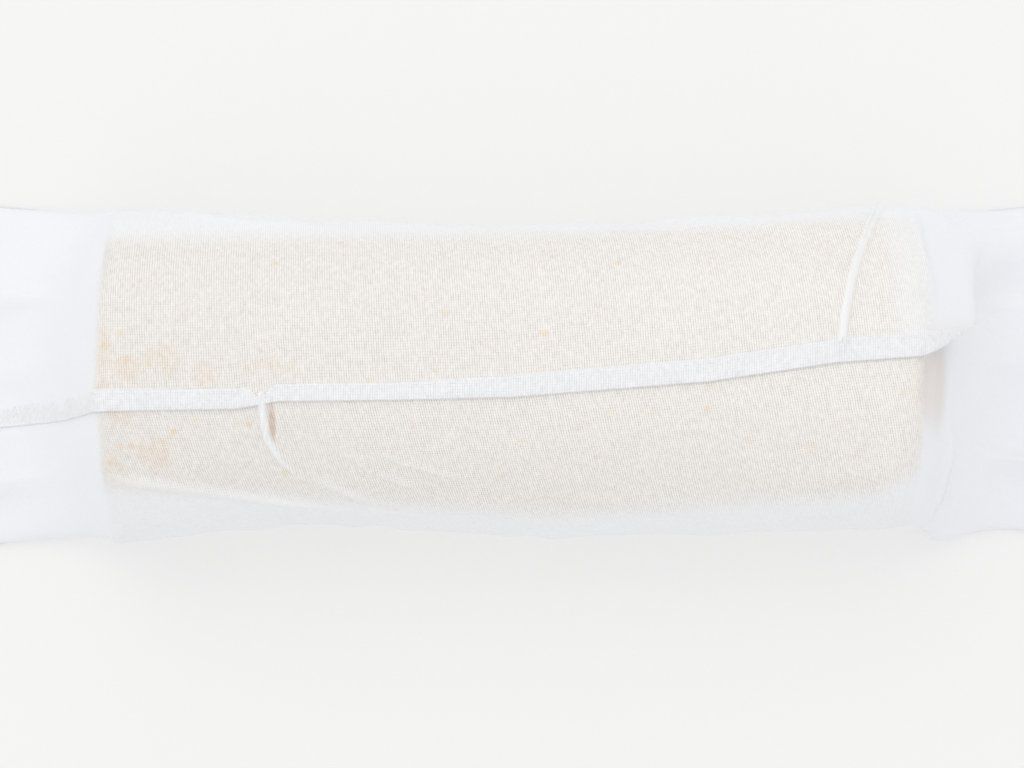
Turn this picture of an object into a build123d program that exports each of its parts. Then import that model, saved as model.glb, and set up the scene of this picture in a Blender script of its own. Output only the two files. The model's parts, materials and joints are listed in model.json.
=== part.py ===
from build123d import *
import math
import os
import random

# Herbal compress roll: a packed cylinder of herbs in its own sewn bag, rolled in one square of
# muslin whose two ends are left open as flat tails and whose free hemmed edge lies on the top.
# Millimetres. X runs along the roll, +Y to the back, +Z up, origin on the table under the middle.

# Herb core and its bag
CORE_LENGTH = 180.0
CORE_DIAMETER = 66.0
BAG_CLOTH = 0.5
BAG_SEAM_ALLOWANCE = 4.0
BAG_SEAM_THICKNESS = 0.6
BAG_THREAD = 0.3
BAG_SIDE_SEAM_AT = 200.0
BAG_SIDE_SEAM_ARC = 10.0

# Muslin wrap
WRAP_CLOTH = 0.5
WRAP_LENGTH = 400.0
REST_FLAT_DEPTH = 1.5
SINGLE_LAYER_ARC = 47.0
HEM_WIDTH = 5.7
HEM_THICKNESS = 0.6

# Free flap and its edge, which lies a little skewed along the top
FLAP_HINGE_AT = 60.0
FLAP_END_GAP = 1.0
EDGE_OFFSET = -2.8
EDGE_SKEW = 3.8

# Shoulders, where the cloth falls from the core's rim to the table, and the flat tails
SHOULDER_RUN = 26.0
TAIL_THICKNESS = 3.0
TAIL_ROOT_WIDTH = 76.0
TAIL_END_WIDTH = 100.0
TAIL_EDGE_ROUND = 1.2

# Machine stitching along the hems
STITCH_LENGTH = 2.0
STITCH_PITCH = 2.8
STITCH_WIDTH = 0.4
STITCH_HEIGHT = 0.25
STITCH_INSET = 1.0

# Gap kept between pieces that move past each other
MOVING_GAP = 0.3

# Herb pieces, each inside a ball-shaped place of its own in the fill
PLACE_RADIUS = 9.0
PLACE_GAP = 1.0
PLAI_DIAMETER = 16.0
PLAI_THICKNESS = 3.5
TURMERIC_DIAMETER = 13.0
TURMERIC_THICKNESS = 3.0
LEMONGRASS_DIAMETER = 6.5
LEMONGRASS_LENGTH = 15.0
PEEL_RADIUS = 14.0
PEEL_THICKNESS = 1.6
PEEL_WIDTH = 12.0
CAMPHOR_SIZE = (6.0, 5.0, 4.0)
SALT_SIZE = 3.0
SALT_SPREAD = 4.0

# Places worked out from the sizes above
CORE_RADIUS = CORE_DIAMETER / 2
FILL_RADIUS = CORE_RADIUS - BAG_CLOTH
INNER_TURN_RADIUS = CORE_RADIUS + WRAP_CLOTH
OUTER_RADIUS = INNER_TURN_RADIUS + WRAP_CLOTH
FLAP_INNER_RADIUS = INNER_TURN_RADIUS + MOVING_GAP
FLAP_OUTER_RADIUS = FLAP_INNER_RADIUS + WRAP_CLOTH
AXIS_HEIGHT = OUTER_RADIUS - REST_FLAT_DEPTH
HALF_CORE = CORE_LENGTH / 2
FOLD_AT = HALF_CORE + SHOULDER_RUN
TAIL_END = WRAP_LENGTH / 2
REACH = 3 * OUTER_RADIUS

random.seed(12)


def edge_at(x):
    """Y of the wrap's free edge at a place along the roll."""
    return EDGE_OFFSET + x * math.tan(math.radians(EDGE_SKEW))


def roll_prism(radius, length):
    """Round bar along X with the flat underside that a roll of this radius has inside the wrap."""
    face = Plane.YZ.offset(-length / 2) * Pos(0, AXIS_HEIGHT) * Circle(radius)
    bar = extrude(face, length)
    underside = OUTER_RADIUS - radius
    below = Pos(0, 0, underside - REACH / 2) * Box(length + 2, REACH, REACH)
    return bar - below


def ring(outer_radius, inner_radius, length):
    """Sleeve between two roll prisms."""
    return roll_prism(outer_radius, length) - roll_prism(inner_radius, length + 2)


def sector(start, end, length):
    """Wedge along X between two angles, 0 at the top and growing towards the back."""
    steps = max(2, math.ceil((end - start) / 30))
    angles = [math.radians(start + (end - start) * i / steps) for i in range(steps + 1)]
    rim = [(REACH * math.sin(a), AXIS_HEIGHT + REACH * math.cos(a)) for a in angles]
    outline = Polyline((0, AXIS_HEIGHT), *rim, close=True)
    return extrude(Plane.YZ.offset(-length / 2) * make_face(outline), length)


def strip(start, end, near, far):
    """Upright slab from x start to x end, between two lines that run beside the free edge."""
    corners = [
        (start, edge_at(start) + near),
        (end, edge_at(end) + near),
        (end, edge_at(end) + far),
        (start, edge_at(start) + far),
    ]
    return extrude(make_face(Polyline(*corners, close=True)), REACH)


def stitch_slabs(start, end, near):
    """Upright slabs in a row beside the free edge, one for each stitch."""
    count = int((end - start) / STITCH_PITCH)
    first = (start + end) / 2 - (count - 1) * STITCH_PITCH / 2
    middle = near + STITCH_WIDTH / 2
    turn = Rot(0, 0, EDGE_SKEW)
    slab = Box(STITCH_LENGTH, STITCH_WIDTH, REACH, align=(Align.CENTER, Align.CENTER, Align.MIN))
    places = [first + i * STITCH_PITCH for i in range(count)]
    return Part(children=[Pos(x, edge_at(x) + middle) * turn * slab for x in places])


# ---- core -------------------------------------------------------------------------------------

def bag_pieces():
    """The core's bag: a tube, two round end panels, their turned-in seams and the thread."""
    seam_radius = FILL_RADIUS - BAG_SEAM_THICKNESS
    thread_radius = seam_radius - BAG_THREAD
    seam_at = HALF_CORE - BAG_CLOTH - BAG_SEAM_ALLOWANCE / 2
    thread_at = HALF_CORE - BAG_CLOTH - BAG_SEAM_ALLOWANCE * 0.75
    side_length = CORE_LENGTH - 2 * (BAG_CLOTH + BAG_SEAM_ALLOWANCE)
    side_end = BAG_SIDE_SEAM_AT + BAG_SIDE_SEAM_ARC
    thread_arc = math.degrees(BAG_THREAD / thread_radius)
    middle = BAG_SIDE_SEAM_AT + BAG_SIDE_SEAM_ARC / 2
    seam = ring(FILL_RADIUS, seam_radius, BAG_SEAM_ALLOWANCE)
    thread = ring(seam_radius, thread_radius, BAG_THREAD)
    side_seam = ring(FILL_RADIUS, seam_radius, side_length)
    side_thread = ring(seam_radius, thread_radius, side_length)
    end_panel = roll_prism(FILL_RADIUS, BAG_CLOTH)
    panel_at = HALF_CORE - BAG_CLOTH / 2
    return {
        "bag_tube": ring(CORE_RADIUS, FILL_RADIUS, CORE_LENGTH),
        "bag_left_end": Pos(-panel_at) * end_panel,
        "bag_right_end": Pos(panel_at) * end_panel,
        "bag_left_seam": Pos(-seam_at) * seam,
        "bag_right_seam": Pos(seam_at) * seam,
        "bag_end_stitching": Part(children=[Pos(-thread_at) * thread, Pos(thread_at) * thread]),
        "bag_side_seam": side_seam & sector(BAG_SIDE_SEAM_AT, side_end, side_length),
        "bag_side_stitching": side_thread & sector(middle, middle + thread_arc, side_length),
    }


def herb_places():
    """Centres of the ball-shaped places in the fill, station by station: a ring, and one on the axis
    where the ring leaves room for it."""
    free_radius = FILL_RADIUS - BAG_SEAM_THICKNESS - BAG_THREAD - PLACE_GAP
    ring_radius = free_radius - PLACE_RADIUS
    pitch = 2 * PLACE_RADIUS + PLACE_GAP
    around = int(2 * math.pi * ring_radius / pitch)
    free_length = CORE_LENGTH - 2 * (BAG_CLOTH + PLACE_GAP)
    stations = int(free_length / pitch)
    first = -(stations - 1) * pitch / 2
    places = []
    for station in range(stations):
        x = first + station * pitch
        if ring_radius >= pitch:
            places.append((x, 0, AXIS_HEIGHT))
        for i in range(around):
            angle = 2 * math.pi * (i + station / 2) / around
            y = ring_radius * math.sin(angle)
            places.append((x, y, AXIS_HEIGHT + ring_radius * math.cos(angle)))
    random.shuffle(places)
    return places


def plai_slice():
    return Cylinder(PLAI_DIAMETER / 2, PLAI_THICKNESS)


def turmeric_slice():
    return Cylinder(TURMERIC_DIAMETER / 2, TURMERIC_THICKNESS)


def lemongrass_cut():
    return Cylinder(LEMONGRASS_DIAMETER / 2, LEMONGRASS_LENGTH)


def lime_peel():
    shell = Cylinder(PEEL_RADIUS, PEEL_WIDTH) - Cylinder(PEEL_RADIUS - PEEL_THICKNESS, PEEL_WIDTH)
    patch = shell & Pos(PEEL_RADIUS) * Box(PEEL_RADIUS, PEEL_WIDTH, PEEL_WIDTH)
    return Pos(-PEEL_RADIUS + PEEL_THICKNESS) * patch


def camphor_crystal():
    return chamfer(Box(*CAMPHOR_SIZE).edges().filter_by(Axis.Z), CAMPHOR_SIZE[2] / 4)


def salt_grains():
    turns = [Rot(0, 0, 120 * i) * Pos(SALT_SPREAD) for i in range(3)]
    return Part(children=[turn * Box(SALT_SIZE, SALT_SIZE, SALT_SIZE) for turn in turns])


def herb_pieces():
    """The cut herbs and crystals, shared out among the places in a fixed random order."""
    kinds = {
        "plai_slices": plai_slice,
        "turmeric_slices": turmeric_slice,
        "lemongrass_cuts": lemongrass_cut,
        "lime_peel_pieces": lime_peel,
        "camphor_crystals": camphor_crystal,
        "salt_grains": salt_grains,
    }
    groups = {name: [] for name in kinds}
    names = list(kinds)
    for i, place in enumerate(herb_places()):
        name = names[i % len(names)]
        turn = Rot(*(random.uniform(0, 360) for _ in range(3)))
        groups[name] += (Pos(*place) * turn * kinds[name]()).solids()
    return {name: Part(children=solids) for name, solids in groups.items()}


def herb_fill(inside):
    """The ground herbs: they fill the bag round the seams and every larger piece."""
    fill = roll_prism(FILL_RADIUS, CORE_LENGTH - 2 * BAG_CLOTH)
    for piece in inside:
        fill = fill - piece.solids()
    return fill


# ---- wrap on the roll -------------------------------------------------------------------------

def wrap_turns():
    """The turns that stay on the roll, and the hem of the edge that the rolling starts from."""
    gap_arc = math.degrees(MOVING_GAP / OUTER_RADIUS)
    edge_angle = math.degrees(math.asin(EDGE_OFFSET / OUTER_RADIUS))
    start_edge = 360 + edge_angle - SINGLE_LAYER_ARC
    hem_arc = math.degrees(HEM_WIDTH / OUTER_RADIUS)
    outer = ring(OUTER_RADIUS, INNER_TURN_RADIUS, CORE_LENGTH)
    turn = sector(FLAP_HINGE_AT + gap_arc, start_edge - hem_arc, CORE_LENGTH)
    hem = sector(start_edge - hem_arc, start_edge, CORE_LENGTH)
    return {
        "wrap_inner_turn": ring(INNER_TURN_RADIUS, CORE_RADIUS, CORE_LENGTH),
        "wrap_outer_turn": outer & turn,
        "start_edge_hem": outer & hem,
    }


def free_flap():
    """The last part of the wrap, from its fold line over the top to the free hemmed edge."""
    length = CORE_LENGTH - 2 * FLAP_END_GAP
    half = length / 2
    hem_radius = FLAP_OUTER_RADIUS + HEM_THICKNESS
    stitch_near = HEM_WIDTH - STITCH_INSET
    top = sector(-FLAP_HINGE_AT, FLAP_HINGE_AT, length)
    flap = ring(FLAP_OUTER_RADIUS, FLAP_INNER_RADIUS, length)
    hem = ring(hem_radius, FLAP_OUTER_RADIUS, length)
    stitches = ring(hem_radius + STITCH_HEIGHT, hem_radius, length)
    return {
        "free_flap": flap & top & strip(-half, half, 0, REACH),
        "free_edge_hem": hem & top & strip(-half, half, 0, HEM_WIDTH),
        "free_edge_stitching": stitches & stitch_slabs(-half, half, stitch_near),
    }


# ---- shoulders and tails ----------------------------------------------------------------------

def shoulder_body(inset):
    """Loft on the right from the roll's round end to the flat fold line, made smaller by inset."""
    round_end = Plane.YZ.offset(HALF_CORE) * Pos(0, AXIS_HEIGHT) * Circle(OUTER_RADIUS - inset)
    half_width = TAIL_ROOT_WIDTH / 2 - inset
    half_height = TAIL_THICKNESS / 2 - inset / 2
    flat_end = Plane.YZ.offset(FOLD_AT) * Pos(0, TAIL_THICKNESS / 2) * Ellipse(half_width, half_height)
    body = loft([round_end, flat_end], ruled=True)
    below = Pos(FOLD_AT, 0, inset - REACH / 2) * Box(REACH, REACH, REACH)
    return body - below


def shoulder(side):
    """Hollow cone of wrap cloth between the core's rim and the fold line."""
    shell = shoulder_body(0) - shoulder_body(2 * WRAP_CLOTH)
    return shell if side > 0 else mirror(shell, about=Plane.YZ)


def shoulder_hem(side):
    """Hem of the free edge where it runs down the shoulder."""
    near_x = HALF_CORE + MOVING_GAP
    lift = HEM_THICKNESS
    top = AXIS_HEIGHT + OUTER_RADIUS
    profile = [
        (near_x, 0),
        (near_x, top + lift),
        (FOLD_AT, TAIL_THICKNESS + lift),
        (FOLD_AT, 0),
    ]
    wall = extrude(Plane.XZ * make_face(Polyline(*profile, close=True)), REACH, both=True)
    body = shoulder_body(0)
    if side < 0:
        wall = mirror(wall, about=Plane.YZ)
        body = mirror(body, about=Plane.YZ)
    start, end = sorted((side * near_x, side * FOLD_AT))
    upper = wall & strip(start, end, 0, HEM_WIDTH)
    pieces = (upper - body).solids()
    return max(pieces, key=lambda piece: piece.bounding_box().max.Z)


def tail_slab():
    """Flat tail on the right: the collapsed wrap, widening to its open end."""
    start = FOLD_AT + MOVING_GAP
    end = TAIL_END - HEM_WIDTH
    end_width = TAIL_END_WIDTH
    corners = [
        (start, -TAIL_ROOT_WIDTH / 2),
        (end, -end_width / 2),
        (end, end_width / 2),
        (start, TAIL_ROOT_WIDTH / 2),
    ]
    slab = extrude(make_face(Polyline(*corners, close=True)), TAIL_THICKNESS)
    long_edges = [edge for edge in slab.edges() if edge.length > (end - start) * 0.9]
    return fillet([edge for edge in long_edges if abs(edge.tangent_at(0).X) > 0.9], TAIL_EDGE_ROUND)


def end_hem():
    """Hem across the right tail's open end."""
    middle = TAIL_END - HEM_WIDTH / 2
    size = (HEM_WIDTH, TAIL_END_WIDTH, TAIL_THICKNESS + HEM_THICKNESS)
    base = (Align.CENTER, Align.CENTER, Align.MIN)
    return Pos(middle) * Box(*size, align=base)


def end_stitches():
    """Row of stitches across the right tail's end hem."""
    count = int(TAIL_END_WIDTH / STITCH_PITCH)
    first = -(count - 1) * STITCH_PITCH / 2
    x = TAIL_END - HEM_WIDTH + STITCH_INSET
    top = TAIL_THICKNESS + HEM_THICKNESS
    base = (Align.CENTER, Align.CENTER, Align.MIN)
    stitch = Box(STITCH_WIDTH, STITCH_LENGTH, STITCH_HEIGHT, align=base)
    return [Pos(x, first + i * STITCH_PITCH, top) * stitch for i in range(count)]


def tail(side, name):
    """One flat tail with its end hem, the free edge's hem along it, and their stitching."""
    start, end = sorted((side * (FOLD_AT + MOVING_GAP), side * (TAIL_END - HEM_WIDTH)))
    hem_top = TAIL_THICKNESS + HEM_THICKNESS
    layer = Pos(0, 0, TAIL_THICKNESS + HEM_THICKNESS / 2) * Box(WRAP_LENGTH, REACH, HEM_THICKNESS)
    stitch_layer = Pos(0, 0, hem_top + STITCH_HEIGHT / 2) * Box(WRAP_LENGTH, REACH, STITCH_HEIGHT)
    row = stitch_layer & stitch_slabs(start, end, HEM_WIDTH - STITCH_INSET)
    pieces = {"": tail_slab(), "_end_hem": end_hem()}
    stitches = end_stitches()
    if side < 0:
        pieces = {part: mirror(shape, about=Plane.YZ) for part, shape in pieces.items()}
        stitches = [mirror(stitch, about=Plane.YZ) for stitch in stitches]
    pieces["_edge_hem"] = layer & strip(start, end, 0, HEM_WIDTH)
    pieces["_stitching"] = Part(children=stitches + list(row.solids()))
    return {name + part: shape for part, shape in pieces.items()}


# ---- the whole roll ---------------------------------------------------------------------------

def build():
    bag = bag_pieces()
    herbs = herb_pieces()
    seams = [piece for name, piece in bag.items() if "seam" in name or "stitching" in name]
    nodes = {**bag, **herbs, **wrap_turns(), **free_flap()}
    nodes["herb_fill"] = herb_fill(seams + list(herbs.values()))
    for side, name in ((-1, "left"), (1, "right")):
        nodes[name + "_shoulder"] = shoulder(side)
        nodes[name + "_shoulder_hem"] = shoulder_hem(side)
        nodes.update(tail(side, name + "_tail"))
    return nodes


def main():
    os.makedirs("parts", exist_ok=True)
    for name, shape in build().items():
        export_step(Compound(children=list(shape.solids())), "parts/" + name + ".step")


main()
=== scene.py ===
"""Herbal compress roll: a packed herb core in a sewn bag, rolled in one square of open muslin.

The wrap is one sheet worked out as a function of two lengths: how far round the roll from the
free edge, and how far along the roll. Every cloth piece, hem and stitch is cut from that sheet,
so neighbours meet exactly. Lengths inside the classes are millimetres; meshes are in metres.
"""

from __future__ import annotations

import json
import logging
import math
from dataclasses import dataclass
from enum import Enum
from functools import reduce
from typing import Any, Callable, Sequence

import bpy
import numpy as np
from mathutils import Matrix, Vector


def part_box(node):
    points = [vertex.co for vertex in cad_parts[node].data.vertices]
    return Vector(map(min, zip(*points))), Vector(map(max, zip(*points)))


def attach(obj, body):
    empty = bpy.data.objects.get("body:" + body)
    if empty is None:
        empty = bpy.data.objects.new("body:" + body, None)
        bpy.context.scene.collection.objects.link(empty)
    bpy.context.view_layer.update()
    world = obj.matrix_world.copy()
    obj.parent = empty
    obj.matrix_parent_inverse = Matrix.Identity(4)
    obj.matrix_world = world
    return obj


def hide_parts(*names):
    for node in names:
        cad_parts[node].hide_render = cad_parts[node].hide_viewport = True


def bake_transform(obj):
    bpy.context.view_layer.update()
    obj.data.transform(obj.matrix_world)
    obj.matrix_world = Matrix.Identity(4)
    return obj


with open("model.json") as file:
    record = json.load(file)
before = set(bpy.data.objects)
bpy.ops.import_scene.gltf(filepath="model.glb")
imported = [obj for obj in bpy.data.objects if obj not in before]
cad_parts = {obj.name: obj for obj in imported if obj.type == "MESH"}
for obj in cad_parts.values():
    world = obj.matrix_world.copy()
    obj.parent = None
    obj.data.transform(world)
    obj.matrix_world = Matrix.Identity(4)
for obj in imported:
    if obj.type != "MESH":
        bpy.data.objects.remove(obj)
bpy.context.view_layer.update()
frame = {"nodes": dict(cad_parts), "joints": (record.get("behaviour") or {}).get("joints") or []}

MM = 0.001
Array = np.ndarray
Colour = tuple[float, float, float]
Span = tuple[float, float]
Points = tuple[tuple[float, float], ...]
Spots = tuple[tuple[float, float, float, float, float], ...]
WEAVE_UNIT = 100.0
log = logging.getLogger("compress_roll")


class Body(Enum):
    """The moving bodies of the frame."""

    ROLL = "roll"
    FLAP = "flap"
    LEFT_TAIL = "left_tail"
    RIGHT_TAIL = "right_tail"


class Side(Enum):
    """An end of the roll, with its direction along X."""

    LEFT = -1
    RIGHT = 1

    @property
    def word(self) -> str:
        """The side's name as it starts the names of its pieces."""
        return self.name.lower()

    @property
    def tail(self) -> Body:
        """The body of this side's tail."""
        return Body.LEFT_TAIL if self is Side.LEFT else Body.RIGHT_TAIL


# ---- curves and surfaces ------------------------------------------------------------------------

def smooth(t: Array) -> Array:
    """Ease from 0 to 1: three t squared less two t cubed, held flat outside.

    Args:
        t: the place along the ease, 0 at its start and 1 at its end.

    Returns:
        The eased values.
    """
    t = np.clip(t, 0.0, 1.0)
    return t * t * (3.0 - 2.0 * t)


def soft_positive(t: Array, softness: float) -> Array:
    """The positive part of t with a rounded corner: softness times ln(1 + e^(t / softness)).

    Args:
        t: any values.
        softness: how wide the rounding is, in the units of t.

    Returns:
        Values that are never below 0.
    """
    return softness * np.logaddexp(0.0, t / softness)


def rise(t: Array, start: Array | float, over: float) -> Array:
    """Ease from 0 at a start to 1 at a distance past it."""
    return smooth((t - start) / over)


def bell(t: Array) -> Array:
    """A bell curve: e to the minus t squared."""
    return np.exp(-t * t)


def between(along: Array, points: Points) -> Array:
    """The value at each place, on straight runs between points.

    Args:
        along: places along the roll.
        points: (place, value) pairs in order.

    Returns:
        The values, held flat past the first and the last point.
    """
    places, values = np.array(points).T
    return np.interp(along, places, values)


def from_top(turn: Array) -> Array:
    """Angle from the top to either side, 0 to 180 degrees."""
    return np.degrees(np.arccos(np.clip(np.cos(turn), -1.0, 1.0)))


@dataclass(frozen=True)
class Fold:
    """A narrow raised fold along a short line of points on the roll.

    Attributes:
        points: places as (along the roll, arc from the top, growing to the back).
        height: how far it stands out; negative makes a groove.
        width: its half width.
        fade: shares of the line over which it rises at its start and dies out at its end.
    """

    points: Points
    height: float
    width: float
    fade: tuple[float, float] = (0.3, 0.4)

    def raised(self, arc: Array, along: Array) -> Array:
        """Outward move: a bell across the nearest point of the line, which fades at its ends.

        Args:
            arc: arc from the top line, growing to the back.
            along: place along the roll.

        Returns:
            The move at each place.
        """
        nearest = np.full(np.shape(arc), 1e6)
        run = np.zeros(np.shape(arc))
        spans = list(zip(self.points, self.points[1:]))
        for number, ((x0, a0), (x1, a1)) in enumerate(spans):
            dx, da = x1 - x0, a1 - a0
            share = np.clip(((along - x0) * dx + (arc - a0) * da) / (dx * dx + da * da), 0.0, 1.0)
            distance = np.hypot(along - x0 - share * dx, arc - a0 - share * da)
            closer = distance < nearest
            nearest = np.where(closer, distance, nearest)
            run = np.where(closer, (number + share) / len(spans), run)
        ends = smooth(run / self.fade[0]) * smooth((1.0 - run) / self.fade[1])
        return self.height * ends * bell(nearest / self.width)

    def crest(self, arc: Array, along: Array) -> Array:
        """How far up the fold each place lies: 1 on its crest, 0 beside it."""
        return self.raised(arc, along) / self.height


@dataclass(frozen=True)
class Ripple:
    """Soft waves in the cloth that close on themselves round the roll, from a seeded draw.

    Attributes:
        seed: the draw's seed.
        rounds: most waves round the roll.
        shortest: shortest wave along the roll.
        count: how many waves are added up.
    """

    seed: int
    rounds: int = 20
    shortest: float = 9.0
    count: int = 40

    def height(self, turn: Array, along: Array) -> Array:
        """Sum of cosines of whole turns plus a share of the length, long waves the strongest.

        Args:
            turn: angle from the top.
            along: place along the roll.

        Returns:
            Heights of about plus and minus one.
        """
        rng = np.random.default_rng(self.seed)
        total = np.zeros(np.broadcast(turn, along).shape)
        power = 0.0
        for _ in range(self.count):
            rounds = int(rng.integers(-self.rounds, self.rounds + 1))
            wave = 2.0 * math.pi / self.shortest * rng.random() ** 1.5
            size = 1.0 / (1.0 + math.hypot(rounds * 0.6, wave * 20.0))
            power += size * size / 2.0
            total += size * np.cos(rounds * turn + wave * along + rng.random() * 2.0 * math.pi)
        return total / (1.5 * math.sqrt(power))


@dataclass(frozen=True)
class TailFold:
    """A soft fold that runs out along a tail.

    Attributes:
        root: place across the tail where it starts, -1 front edge to 1 back edge.
        end: place across the tail where it ends.
        height: how high it stands.
        width: half width, as a share of the tail's half width.
    """

    root: float
    end: float
    height: float
    width: float


@dataclass(frozen=True)
class RollSizes:
    """The roll's driving sizes, read from the frame.

    Attributes:
        half_core: half the core's length and the gap past its rim, where the wrap turns down.
        core_radius: the bag's radius.
        axis_height: height of the core's axis.
        outer_radius: radius outside the last turn.
        tail_end: where the tails' cloth ends.
        hinge_turn: angle from the top to the flap's hinge line, in radians.
        fold_at: where the tails fold.
    """

    half_core: float
    core_radius: float
    axis_height: float
    outer_radius: float
    tail_end: float
    hinge_turn: float
    fold_at: float

    @classmethod
    def from_frame(cls) -> RollSizes:
        """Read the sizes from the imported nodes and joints.

        Returns:
            The sizes in millimetres and radians.
        """
        rim_gap = 0.5
        bag_low, bag_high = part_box("bag_tube")
        turn_low, turn_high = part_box("wrap_outer_turn")
        tail_low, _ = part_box("left_tail")
        joints = {joint["name"]: joint for joint in frame["joints"]}
        core = (bag_high.y - bag_low.y) / 2.0
        axis = bag_high.z - core
        flap = joints["free_flap_lift"]["pos_m"]
        return cls(
            half_core=(bag_high.x - bag_low.x) / 2.0 / MM + rim_gap,
            core_radius=core / MM,
            axis_height=axis / MM,
            outer_radius=(turn_high.y - turn_low.y) / 2.0 / MM,
            tail_end=-tail_low.x / MM,
            hinge_turn=math.atan2(flap[1], flap[2] - axis),
            fold_at=joints["right_tail_fold"]["pos_m"][0] / MM,
        )


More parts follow.
